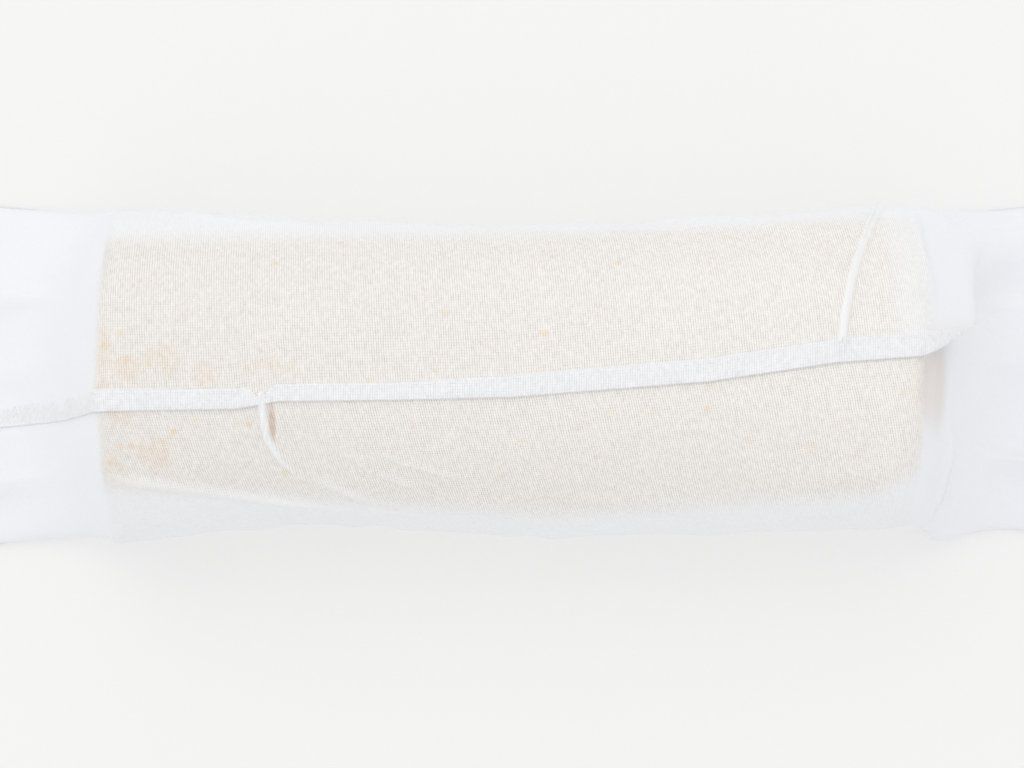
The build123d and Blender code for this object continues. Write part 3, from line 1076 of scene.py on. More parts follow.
class Recipe:
    """A material's node tree, with a Principled shader at its end."""

    def __init__(self, name: str, **constants: Any) -> None:
        """Start a material.

        Args:
            name: the material's name.
            constants: values set straight on the shader's sockets, spaces written as _.
        """
        self.material = bpy.data.materials.new(name)
        self.material.use_nodes = True
        self.tree = self.material.node_tree
        self.shader = self.tree.nodes["Principled BSDF"]
        for key, value in constants.items():
            self.shader.inputs[key.replace("_", " ")].default_value = value

    def node(self, kind: str, settings: dict[str, Any], sockets: dict[Any, Any]) -> Made:
        """Make a node.

        Args:
            kind: the node's type.
            settings: its own settings, and "stops" for a ramp's (place, colour) pairs.
            sockets: values or links by socket name or number.

        Returns:
            The node.
        """
        made = self.tree.nodes.new(kind)
        for key, value in settings.items():
            if key == "stops":
                self._fill_ramp(made.color_ramp, value)
            else:
                setattr(made, key, value)
        for key, value in sockets.items():
            self.feed(made.inputs[key], value)
        return Made(self, made)

    @staticmethod
    def _fill_ramp(ramp: bpy.types.ColorRamp, stops: Sequence[tuple[float, Colour]]) -> None:
        """Set a colour ramp's stops.

        Args:
            ramp: the ramp.
            stops: (place, colour) pairs from 0 to 1.
        """
        while len(ramp.elements) < len(stops):
            ramp.elements.new(0.5)
        for element, (place, colour) in zip(ramp.elements, stops):
            element.position = place
            element.color = (*colour, 1.0)

    def feed(self, socket: bpy.types.NodeSocket, value: Any) -> None:
        """Link a socket to a Value, or set it to a plain number, colour or vector.

        Args:
            socket: the input.
            value: what goes in.
        """
        if isinstance(value, Value):
            self.tree.links.new(value.socket, socket)
        elif isinstance(value, tuple) and socket.type == "RGBA" and len(value) == 3:
            socket.default_value = (*value, 1.0)
        else:
            socket.default_value = value

    def math(self, operation: str, *terms: Value | float) -> Value:
        """One Math node."""
        return self.node("ShaderNodeMath", {"operation": operation}, dict(enumerate(terms))).out()

    def place(self) -> Value:
        """Object coordinates, in metres."""
        return self.node("ShaderNodeTexCoord", {}, {}).out("Object")

    def mark(self, name: str) -> Made:
        """One of the piece's own attributes."""
        return self.node("ShaderNodeAttribute", {"attribute_name": name}, {})

    def parts(self, vector: Value) -> tuple[Value, Value, Value]:
        """The three numbers of a vector."""
        made = self.node("ShaderNodeSeparateXYZ", {}, {"Vector": vector})
        return made.out("X"), made.out("Y"), made.out("Z")

    def vector(self, x: Value | float, y: Value | float, z: Value | float = 0.0) -> Value:
        """A vector from three numbers."""
        return self.node("ShaderNodeCombineXYZ", {}, {"X": x, "Y": y, "Z": z}).out()

    def mix(self, share: Value | float, first: Value | Colour, second: Value | Colour,
            blend: str = "MIX") -> Value:
        """Blend two colours.

        Args:
            share: how much of the second shows.
            first: the first colour.
            second: the second colour.
            blend: how the second is laid on the first.

        Returns:
            The blended colour.
        """
        settings = {"data_type": "RGBA", "blend_type": blend}
        made = self.node("ShaderNodeMix", settings, {})
        for socket, value in ((0, share), (6, first), (7, second)):
            self.feed(made.node.inputs[socket], value)
        return made.out(2)

    def toned(self, colour: Value | Colour, tone: Value) -> Value:
        """A colour with each of its parts multiplied by a number."""
        return self.mix(1.0, colour, self.vector(tone, tone, tone), "MULTIPLY")

    def noise(self, vector: Value, scale: float, detail: float = 2.0,
              roughness: float = 0.5) -> Value:
        """Soft noise from 0 to 1.

        Args:
            vector: where to read it.
            scale: patches per unit of length.
            detail: how many finer layers are added.
            roughness: how strong each finer layer is.

        Returns:
            The noise.
        """
        sockets = {"Vector": vector, "Scale": scale, "Detail": detail, "Roughness": roughness}
        return self.node("ShaderNodeTexNoise", {}, sockets).out(0)

    def chance(self, number: Value) -> Value:
        """One random number from 0 to 1 for each whole number."""
        settings = {"noise_dimensions": "1D"}
        return self.node("ShaderNodeTexWhiteNoise", settings, {"W": number}).out("Value")

    def finish(self, colour: Value | Colour, roughness: Value | float | None = None,
               relief: Value | None = None, depth: float = 0.0001,
               alpha: Value | None = None) -> bpy.types.Material:
        """Feed the shader and return the material.

        Args:
            colour: base colour.
            roughness: roughness, if it varies or differs from the start.
            relief: height map for the Bump node.
            depth: what a relief of 1 stands for, in metres.
            alpha: how much the surface covers.

        Returns:
            The finished material.
        """
        self.feed(self.shader.inputs["Base Color"], colour)
        if roughness is not None:
            self.feed(self.shader.inputs["Roughness"], roughness)
        if relief is not None:
            sockets = {"Height": relief, "Distance": depth, "Strength": 1.0}
            self.feed(self.shader.inputs["Normal"],
                      self.node("ShaderNodeBump", {}, sockets).out())
        if alpha is not None:
            self.feed(self.shader.inputs["Alpha"], alpha)
        return self.material


# ---- finishes -----------------------------------------------------------------------------------

MUSLIN_FIBRES = {
    "Roughness": 0.92, "Sheen_Weight": 0.12, "Sheen_Roughness": 0.5, "Specular_IOR_Level": 0.25,
}


@dataclass(frozen=True)
class Stains:
    """Herb specks and oil stains of the core, which tint whatever touches it, and a few spots of
    painted shade.

    Attributes:
        patches: (x, y, half length, half depth, strength) of the stained places on the top, in
            millimetres.
        painted_shade_spots: painted shade, darker places for the shadowed gap beside the dart and
            the shadowed
        hollow past the right end, seen through the cloth, as (x, y, half length, half depth,
        strength).
        painted_shade: colour of that painted shade.
        yellow: colour of some specks.
        orange: colour of other specks.
        pink: colour of the rest of the specks.
        wash: colour that the stained places take on between the specks.
        specks_per_metre: how close the specks can lie.
    """

    patches: Spots = (
        (-83.5, 1.5, 5.0, 4.6, 1.0), (-89.5, 2.0, 4.0, 14.0, 0.9), (-76.0, 3.5, 8.0, 5.5, 0.85),
        (-67.0, 0.5, 4.8, 3.8, 1.0), (-86.0, -8.5, 4.6, 3.4, 1.0), (-79.0, -17.0, 6.5, 5.5, 1.0),
        (-71.5, -12.5, 5.0, 4.0, 0.8), (-52.5, 2.2, 6.5, 3.2, 0.8), (-88.0, -20.0, 3.6, 7.0, 0.8),
        (-15.0, 21.0, 2.4, 2.4, 0.5), (-5.0, 8.0, 2.4, 2.2, 0.5), (7.0, 9.0, 2.8, 2.2, 0.5),
        (43.0, -2.5, 3.4, 2.8, 0.5), (66.0, -16.0, 2.8, 2.8, 0.7), (71.5, -11.0, 2.8, 3.4, 0.6),
        (-12.0, -18.5, 4.0, 3.0, 0.6), (3.0, -19.5, 2.8, 2.8, 0.5), (75.0, -23.0, 2.8, 2.8, 0.6),
        (23.0, -15.0, 3.4, 2.8, 0.5), (50.0, -9.0, 2.4, 3.4, 0.5), (-30.0, -12.0, 3.4, 4.0, 0.4),
    )
    # Painted shade: the dart's shadowed gap and the right end's shadowed hollow.
    painted_shade_spots: Spots = (
        (-52.3, -10.5, 1.1, 5.0, 0.75), (94.6, -1.0, 7.2, 13.5, 0.30),
        (102.0, -2.0, 20.0, 18.0, 0.13),
    )
    painted_shade: Colour = (0.66, 0.52, 0.41)
    yellow: Colour = (0.90, 0.70, 0.36)
    orange: Colour = (0.88, 0.58, 0.34)
    pink: Colour = (0.88, 0.66, 0.58)
    wash: Colour = (0.90, 0.72, 0.56)
    specks_per_metre: float = 420.0

    @staticmethod
    def spot(x: Value, y: Value, middle_x: float, middle_y: float, half_length: float,
             half_depth: float) -> Value:
        """A soft oval: one less the square of the distance from its middle, eased from its rim.

        Args:
            x: place along the roll, in metres.
            y: place across the roll, in metres.
            middle_x: the oval's middle along the roll, in millimetres.
            middle_y: its middle across the roll.
            half_length: half its size along the roll.
            half_depth: half its size across the roll.

        Returns:
            1 at the middle and 0 from the rim on.
        """
        across, deep = (x / MM - middle_x) / half_length, (y / MM - middle_y) / half_depth
        return (1.0 - (across * across + deep * deep)).ease(0.0, 1.0)

    def tint(self, recipe: Recipe, place: Value, colour: Value | Colour,
             strength: Value | float) -> Value:
        """Lay the specks, the stains and the spots of painted shade over a colour.

        Args:
            recipe: the material's recipe.
            place: where each point lies at rest, in metres.
            colour: what lies under the specks.
            strength: how clearly the specks show, 0 to 1.

        Returns:
            The tinted colour.
        """
        x, y, z = recipe.parts(place)
        blobs = [self.spot(x, y, *oval) * strong for *oval, strong in self.patches]
        stained = reduce(Value.most, blobs) * z.ease(0.035, 0.05)
        sockets = {"Vector": place, "Scale": self.specks_per_metre, "Randomness": 1.0}
        cells = recipe.node("ShaderNodeTexVoronoi", {"feature": "F1"}, sockets)
        draw, kind, _ = recipe.parts(cells.out("Color"))
        dot = 1.0 - cells.out("Distance").ease(0.10, 0.55)
        chosen = (draw + stained * 0.30).ease(0.93, 1.0)
        cloudy = recipe.noise(place, 210.0, 3.0) * stained
        paint = recipe.node(
            "ShaderNodeValToRGB",
            {"stops": [(0.2, self.pink), (0.45, self.orange), (0.75, self.yellow)]},
            {"Fac": kind},
        ).out("Color")
        stain_wash_and_shade = recipe.mix(cloudy.ease(0.14, 0.60) * 0.38 * strength, colour, self.wash)
        # Painted shade of the dart's gap and of the right end's hollow, laid over the stained
        # colour.
        for *oval, strong in self.painted_shade_spots:
            painted_shade = self.spot(x, y, *oval) * z.ease(0.040, 0.050)
            stain_wash_and_shade = recipe.mix(painted_shade * strong, stain_wash_and_shade, self.painted_shade)
        return recipe.mix(dot * chosen * 0.40 * strength, stain_wash_and_shade, paint)


@dataclass(frozen=True)
class Weave:
    """Plain weave of uneven hand-woven threads, worked out from the weave coordinates.

    Attributes:
        pitch: spacing of the threads that run round the roll.
        cross_pitch: spacing of the threads that run along it.
        cover: share of the pitch that a round thread fills.
        cross_cover: share of the pitch that a cross thread fills.
        uneven: how much the threads wander, as a share of the pitch.
        speckle: how much the openings differ from one crossing of the threads to the next.
    """

    pitch: float = 0.53
    cross_pitch: float = 0.66
    cover: float = 0.80
    cross_cover: float = 0.91
    uneven: float = 0.14
    speckle: float = 0.24

    def build(self, recipe: Recipe) -> tuple[Value, Value, Value]:
        """Work out the weave. Each thread has its own number, its phase's whole part. A round
        thread is thicker where its slub is, and each crossing has a twist and a squeeze of its
        own. The upper thread of a crossing changes from one to the next.

        Args:
            recipe: the material's recipe.

        Returns:
            How much the threads cover, their height, and a tone: each thread's own, lighter on the
            raised crowns as painted light and darker in the grooves between the threads as painted
            shade.
        """
        flat = recipe.node("ShaderNodeUVMap", {"uv_map": "weave"}, {}).out("UV")
        across, down, _ = recipe.parts(flat)
        wander = recipe.noise(flat, 22.0, 2.0) - 0.5
        drift = recipe.noise(recipe.vector(across * 9.0, down * 30.0, 4.0), 1.0, 2.0) - 0.5
        phase = across * (WEAVE_UNIT / self.pitch) + wander * (self.uneven * 4.0)
        cross_phase = down * (WEAVE_UNIT / self.cross_pitch) + drift * (self.uneven * 4.0)
        number, cross_number = phase.floor(), cross_phase.floor()
        edge = (phase.fraction() - 0.5).size() * 2.0
        cross_edge = (cross_phase.fraction() - 0.5).size() * 2.0
        draw, cross_draw = recipe.chance(number), recipe.chance(cross_number + 0.5)
        slub = recipe.noise(recipe.vector(number * 3.7, down * 62.0), 1.0, 2.0) - 0.5
        twist = recipe.chance(number * 7.13 + cross_number * 3.31 + 0.37) - 0.5
        squeeze = recipe.chance(number * 1.37 + cross_number * 61.7) - 0.5
        fill = draw * 0.05 + slub * 0.40 + twist * self.speckle * 0.3 + self.cover
        cross_fill = cross_draw * 0.06 + squeeze * self.speckle + self.cross_cover
        thread = ((fill - edge) * 3.5 + 0.5).clamp()
        cross_thread = ((cross_fill - cross_edge) * 3.5 + 0.5).clamp()
        parity = ((number + cross_number) * 0.5).fraction() * 2.0
        upper = thread * (0.66 + 0.34 * parity) * (1.0 - edge * edge * 0.5)
        lower = cross_thread * (0.58 - 0.20 * parity) * (0.95 - cross_edge * cross_edge * 0.3)
        height = upper.most(lower)
        cover = 1.0 - (1.0 - thread) * (1.0 - cross_thread)
        # Each thread's own tone, with painted light on the raised crowns and painted shade in the
        # grooves between the threads.
        shade = 0.945 + twist * self.speckle * 0.08 + slub * 0.17 + height * 0.04
        shade = shade - (1.0 - thread) * 0.20
        return cover, height, shade


@dataclass(frozen=True)
class MuslinFinish:
    """Sheer bleached muslin: bluish white in the air, cream where it lies on the herb core.

    Attributes:
        airy: colour where it hangs clear.
        resting: colour where it lies on the core.
        pleated: colour of a pleat's crest, where the cloth lies doubled, and of a faint crease's
            crest, where it is a painted highlight.
        weave: its threads.
        stains: the core's stains that come through.
        pores: colour of the openings over the core.
        openness: how clear an opening is.
        strain: how much lighter the cloth is towards the right end, per metre.
    """

    airy: Colour = (0.852, 0.862, 0.888)
    resting: Colour = (0.900, 0.866, 0.825)
    pleated: Colour = (0.90, 0.90, 0.905)
    weave: Weave = Weave()
    stains: Stains = Stains()
    pores: Colour = (0.74, 0.62, 0.50)
    openness: float = 0.55
    strain: float = 0.22

    def material(self) -> bpy.types.Material:
        """Build the cloth's material.

        Returns:
            The material.
        """
        recipe = Recipe("muslin", **MUSLIN_FIBRES)
        touch, pleat = (recipe.mark(name).out("Fac") for name in ("contact", "doubled"))
        rest = recipe.mark("rest").out("Vector")
        cover, height, shade = self.weave.build(recipe)
        cloud = recipe.noise(rest, 60.0, 3.0)
        yarn = recipe.mix(touch, self.airy, self.resting)
        yarn = self.stains.tint(recipe, rest, yarn, touch)
        clear = 0.14 + touch * 0.86
        yarn = recipe.mix((1.0 - cover) * touch * 0.45, yarn, self.pores)
        x, _, _ = recipe.parts(rest)
        even = 0.985 + cloud * 0.03 + x * (touch * self.strain)
        # The weave's tone, with its painted light on the crowns and painted shade in the grooves.
        yarn = recipe.toned(yarn, (1.0 - (1.0 - shade) * clear) * even)
        # Whiter on a pleat's crest, where the cloth lies doubled, and on a faint crease's crest as
        # a painted highlight.
        yarn = recipe.mix(pleat, yarn, self.pleated)
        alpha = 1.0 - (1.0 - cover) * (1.0 - pleat) * clear * self.openness
        return recipe.finish(yarn, relief=height * clear, depth=0.00009, alpha=alpha)


@dataclass(frozen=True)
class HemFinish:
    """Four thicknesses of the same muslin, pressed and sewn: whiter, and hardly any pores."""

    colour: Colour = (0.893, 0.893, 0.912)
    weave: Weave = Weave(cover=0.90, cross_cover=0.97, uneven=0.12, speckle=0.10)

    def material(self) -> bpy.types.Material:
        """Build the hem's material.

        Returns:
            The material.
        """
        recipe = Recipe("muslin_hem", **MUSLIN_FIBRES)
        cover, height, shade = self.weave.build(recipe)
        # The weave's tone, with painted light on the crowns and painted shade in the grooves, and
        # darker still where the threads leave gaps, as painted shade.
        tone = shade * (0.97 + recipe.noise(recipe.place(), 160.0, 3.0) * 0.06)
        tone = tone * (0.96 + cover * 0.04)
        yarn = recipe.toned(self.colour, tone)
        return recipe.finish(yarn, relief=height, depth=0.00010)


@dataclass(frozen=True)
class ThreadFinish:
    """Spun cotton sewing thread, with its twist as fine slanting bands, raised, with painted shade
    in their grooves.
    """

    colour: Colour = (0.90, 0.905, 0.92)
    bands_per_metre: float = 5200.0

    def material(self) -> bpy.types.Material:
        """Build the thread's material.

        Returns:
            The material.
        """
        recipe = Recipe("thread", Roughness=0.7, Specular_IOR_Level=0.3)
        x, y, z = recipe.parts(recipe.place())
        slanting = x + y * 0.6 + z * 0.3
        twist = (slanting * self.bands_per_metre).fraction().ease(0.1, 0.9)
        # Painted shade: darker in the grooves between the twist's bands.
        colour = recipe.toned(self.colour, 0.96 + twist * 0.04)
        return recipe.finish(colour, relief=twist, depth=0.00004)


@dataclass(frozen=True)
class BagFinish:
    """Closer-woven cotton of the core's bag, cream, with oil marks and herb dust showing.

    Attributes:
        colour: the cloth's colour.
        shade: colour of the marks.
        stains: the stained places.
        soaked: how clearly the stains show.
        threads_per_metre: threads of its weave, both ways.
    """

    colour: Colour = (0.76, 0.66, 0.55)
    shade: Colour = (0.68, 0.56, 0.43)
    stains: Stains = Stains()
    soaked: float = 1.6
    threads_per_metre: float = 2300.0

    def material(self) -> bpy.types.Material:
        """Build the bag's material.

        Returns:
            The material.
        """
        recipe = Recipe("bag_cloth", Roughness=0.95, Specular_IOR_Level=0.2)
        place = recipe.place()
        x, y, z = recipe.parts(place)
        lines = ((x * self.threads_per_metre).fraction() - 0.5).size()
        cross = (((y + z) * self.threads_per_metre).fraction() - 0.5).size()
        height = 1.0 - (lines + cross)
        marks = recipe.noise(place, 45.0, 4.0)
        colour = recipe.mix(marks.ease(0.42, 0.72) * 0.6, self.colour, self.shade)
        colour = self.stains.tint(recipe, place, colour, self.soaked)
        return recipe.finish(colour, relief=height, depth=0.00010)


@dataclass(frozen=True)
class HerbFinish:
    """A dried plant piece: two tones in soft patches, fibres along one direction, a rough skin.

    Attributes:
        name: the finish's name.
        light: its lighter tone.
        dark: its darker tone.
        grain: how far the patches are drawn out along Y.
        scale: patches per metre.
        roughness: how matt it is.
        depth: height of its relief in metres.
    """

    name: str
    light: Colour
    dark: Colour
    grain: float = 1.0
    scale: float = 500.0
    roughness: float = 0.85
    depth: float = 0.0003

    def material(self) -> bpy.types.Material:
        """Build the plant material.

        Returns:
            The material.
        """
        recipe = Recipe(self.name, Specular_IOR_Level=0.3)
        x, y, z = recipe.parts(recipe.place())
        drawn = recipe.vector(x, y / self.grain, z)
        patches = recipe.noise(drawn, self.scale, 5.0, 0.65)
        fine = recipe.noise(drawn, self.scale * 5.0, 2.0)
        colour = recipe.mix((patches + fine * 0.3).ease(0.4, 0.85), self.dark, self.light)
        rough = self.roughness + (fine - 0.5) * 0.15
        return recipe.finish(colour, rough, patches + fine * 0.4, self.depth)


@dataclass(frozen=True)
class CrystalFinish:
    """Clear or cloudy crystals with frosted faces.

    Attributes:
        name: the finish's name.
        colour: its colour.
        clear: how much light goes through.
        cloud: colour of the cloudy places.
    """

    name: str
    colour: Colour
    clear: float
    cloud: Colour = (0.80, 0.79, 0.76)

    def material(self) -> bpy.types.Material:
        """Build the crystals' material.

        Returns:
            The material.
        """
        recipe = Recipe(self.name, IOR=1.53, Transmission_Weight=self.clear)
        place = recipe.place()
        frost = recipe.noise(place, 900.0, 3.0)
        cloudy = recipe.noise(place, 250.0, 2.0).ease(0.35, 0.7) * 0.5
        tone = recipe.mix(cloudy, self.colour, self.cloud)
        return recipe.finish(tone, 0.15 + frost * 0.45, frost, 0.00015)


@dataclass(frozen=True)
class TableFinish:
    """A plain pale table top with hardly visible mottling."""

    colour: Colour = (0.46, 0.46, 0.455)
    glow: Colour = (0.430, 0.430, 0.425)

    def material(self) -> bpy.types.Material:
        """Build the table's material: a lit pane, so shadows on it stay as pale as on glass.

        Returns:
            The material.
        """
        recipe = Recipe("table", Roughness=0.9, Specular_IOR_Level=0.1, Emission_Strength=1.0)
        recipe.feed(recipe.shader.inputs["Emission Color"], self.glow)
        mottled = 0.995 + recipe.noise(recipe.place(), 40.0, 3.0) * 0.01
        return recipe.finish(recipe.toned(self.colour, mottled))


# ---- the wrap -----------------------------------------------------------------------------------

def spaced(low: float, high: float, step: float, cut: float = 0.12) -> Array:
    """Even places from low to high, with one more close to each end so that the surface's
    shading reaches the cut unchanged.

    Args:
        low: first place.
        high: last place.
        step: largest spacing.
        cut: distance of the extra places from the ends.

    Returns:
        The places in order.
    """
    count = max(2, math.ceil((high - low) / step))
    inner = np.linspace(low, high, count + 1)[1:-1]
    return np.concatenate([[low, low + cut], inner, [high - cut, high]])


@dataclass
class MuslinWrap:
    """The square of muslin: its turns on the core, its free flap and its two open tails.

    Attributes:
        shop: what makes its meshes.
        cloth: its material.
        coarse: spacing round the roll where the turns are hidden.
        fine: spacing round the roll where the last turn shows.
        along_step: spacing along the roll.
        pleat_step: spacing along the roll across a pleat.
        pleats: where along the roll the dart and the flap's pleat lie.
        hinge_step: spacing round the roll beside the flap's hinge line.
        hinge_from: cloth from the free edge to the first row of the turns, before the rows are
            moved to the hinge line.
        hinge_ease: cloth over which that move dies out.
        rim_step: spacing along the roll beside the right rim.
        flap_steps: spacing along the flap's plain parts and along the part with the pleat.
        slope_length: cloth past the rim that is spaced closely.
        flap_blend: the span handed on with the flap's end parts, and where the middle part ends.
        fold_spread: how far before a tail's fold the span handed on with a tail piece starts.
        tail_blend_reach: how far past the fold that span ends.
    """

    shop: Workshop
    cloth: bpy.types.Material
    coarse: float = 2.8
    fine: float = 0.6
    along_step: float = 1.5
    pleat_step: float = 0.5
    pleats: tuple[tuple[float, float], ...] = ((-57.0, -34.0), (68.0, 88.0))
    hinge_step: float = 0.7
    hinge_from: float = 40.0
    hinge_ease: float = 22.0
    rim_step: float = 0.8
    flap_steps: tuple[float, float] = (0.9, 0.34)
    slope_length: float = 34.0
    flap_blend: tuple[float, float] = (90.0, 46.0)
    fold_spread: float = 5.0
    tail_blend_reach: float = 9.0

    @property
    def drape(self) -> Drape:
        """The sheet that the pieces are cut from."""
        return self.shop.drape

    def turns(self) -> bpy.types.Object:
        """The cloth on the core, from the flap's hinge line to the start edge.

        Returns:
            The cloth piece.
        """
        drape, half = self.drape, self.drape.sizes.half_core
        seen = (0.80 * drape.around, drape.around + 3.0)
        start, eased = self.hinge_from, self.hinge_from + self.hinge_ease
        band = eased + 2.0
        base = np.concatenate([
            spaced(start, band, self.hinge_step)[:-2],
            spaced(band, seen[0], self.coarse)[1:-2], np.arange(*seen, self.fine),
            spaced(seen[1], drape.cloth_length, self.coarse),
        ])
        dart, pleat = self.pleats
        places = np.concatenate([
            spaced(-half, dart[0], self.along_step)[:-2], np.arange(*dart, self.pleat_step),
            spaced(dart[1], pleat[0], self.along_step)[:-2], np.arange(*pleat, self.pleat_step),
            spaced(pleat[1], half, self.rim_step),
        ])
        along, rounds = np.meshgrid(places, base, indexing="ij")
        near = np.clip((eased - rounds) / self.hinge_ease, 0.0, 1.0)
        rounds = rounds + near * (drape.hinge_round(along) - start)
        piece = self.shop.cloth("wrap_turns", rounds, along, self.cloth)
        self.shop.join_to_frame(piece, "muslin", [Body.ROLL],
                                nodes=("wrap_inner_turn", "wrap_outer_turn"))
        return piece

    def flap(self, name: str, low: float, high: float) -> bpy.types.Object:
        """A part of the flap, from the free edge to the hinge line.

        Args:
            name: the piece's name.
            low: where it starts along the roll.
            high: where it ends.

        Returns:
            The cloth piece.
        """
        drape = self.drape
        share = spaced(0.0, 1.0, 0.014, 0.004)
        plain, pleated = self.flap_steps
        step = pleated if low > 0.0 else plain
        along, share = np.meshgrid(spaced(low, high, step), share, indexing="ij")
        rounds = share * drape.hinge_round(along)
        return self.shop.cloth(name, rounds, along, self.cloth)

    def tail(self, side: Side) -> bpy.types.Object:
        """A tail and its shoulder: all the turns past the core's rim, falling and lying flat.

        Args:
            side: which end of the roll.

        Returns:
            The cloth piece.
        """
        drape = self.drape
        half, end = drape.sizes.half_core, drape.sizes.tail_end
        foot, shown = half + self.slope_length, 60.0
        out = np.concatenate([spaced(half, foot, 1.1)[:-2], spaced(foot, end, 2.0)])
        out = out if side is Side.RIGHT else -out[::-1]
        rounds = np.concatenate([
            spaced(0.0, shown, 1.2)[:-2], spaced(shown, drape.cloth_length, 2.3),
        ])
        along, rounds = np.meshgrid(out, rounds, indexing="ij")
        piece = self.shop.cloth(f"{side.word}_tail_cloth", rounds, along, self.cloth)
        self.join_tail(piece, side, "muslin", (f"{side.word}_tail", f"{side.word}_shoulder"))
        return piece

    def join_tail(self, piece: bpy.types.Object, side: Side, slot: str,
                  nodes: Sequence[str]) -> None:
        """Join a piece to the roll and a tail: its place is baked into its points, with no blend
        across the tail's fold.

        Args:
            piece: the piece.
            side: which end of the roll.
            slot: its material slot.
            nodes: the CAD nodes that it stands for.
        """
        fold = self.drape.sizes.fold_at
        span = (side.value * (fold - self.fold_spread),
                side.value * (fold + self.tail_blend_reach))
        self.shop.join_to_frame(piece, slot, [Body.ROLL, side.tail], span, nodes)

    def join_flap(self, piece: bpy.types.Object, side: Side | None, slot: str,
                  nodes: Sequence[str]) -> None:
        """Ride a piece on the flap, or, at an end of the roll, bake its place into its points,
        with no blend to the flap.

        Args:
            piece: the piece.
            side: the end that it is at, or None in the middle.
            slot: its material slot.
            nodes: the CAD nodes that it stands for.
        """
        if side is None:
            self.shop.join_to_frame(piece, slot, [Body.FLAP], nodes=nodes)
            return
        span = (side.value * self.flap_blend[0], side.value * self.flap_blend[1])
        self.shop.join_to_frame(piece, slot, [Body.ROLL, Body.FLAP], span, nodes)

    def flap_parts(self) -> list[tuple[str, Side | None, float, float]]:
        """The flap's three parts.

        Returns:
            Name, end and span along the roll of each.
        """
        half, inner = self.drape.sizes.half_core, self.flap_blend[1]
        return [
            ("left", Side.LEFT, -half, -inner), ("middle", None, -inner, inner),
            ("right", Side.RIGHT, inner, half),
        ]


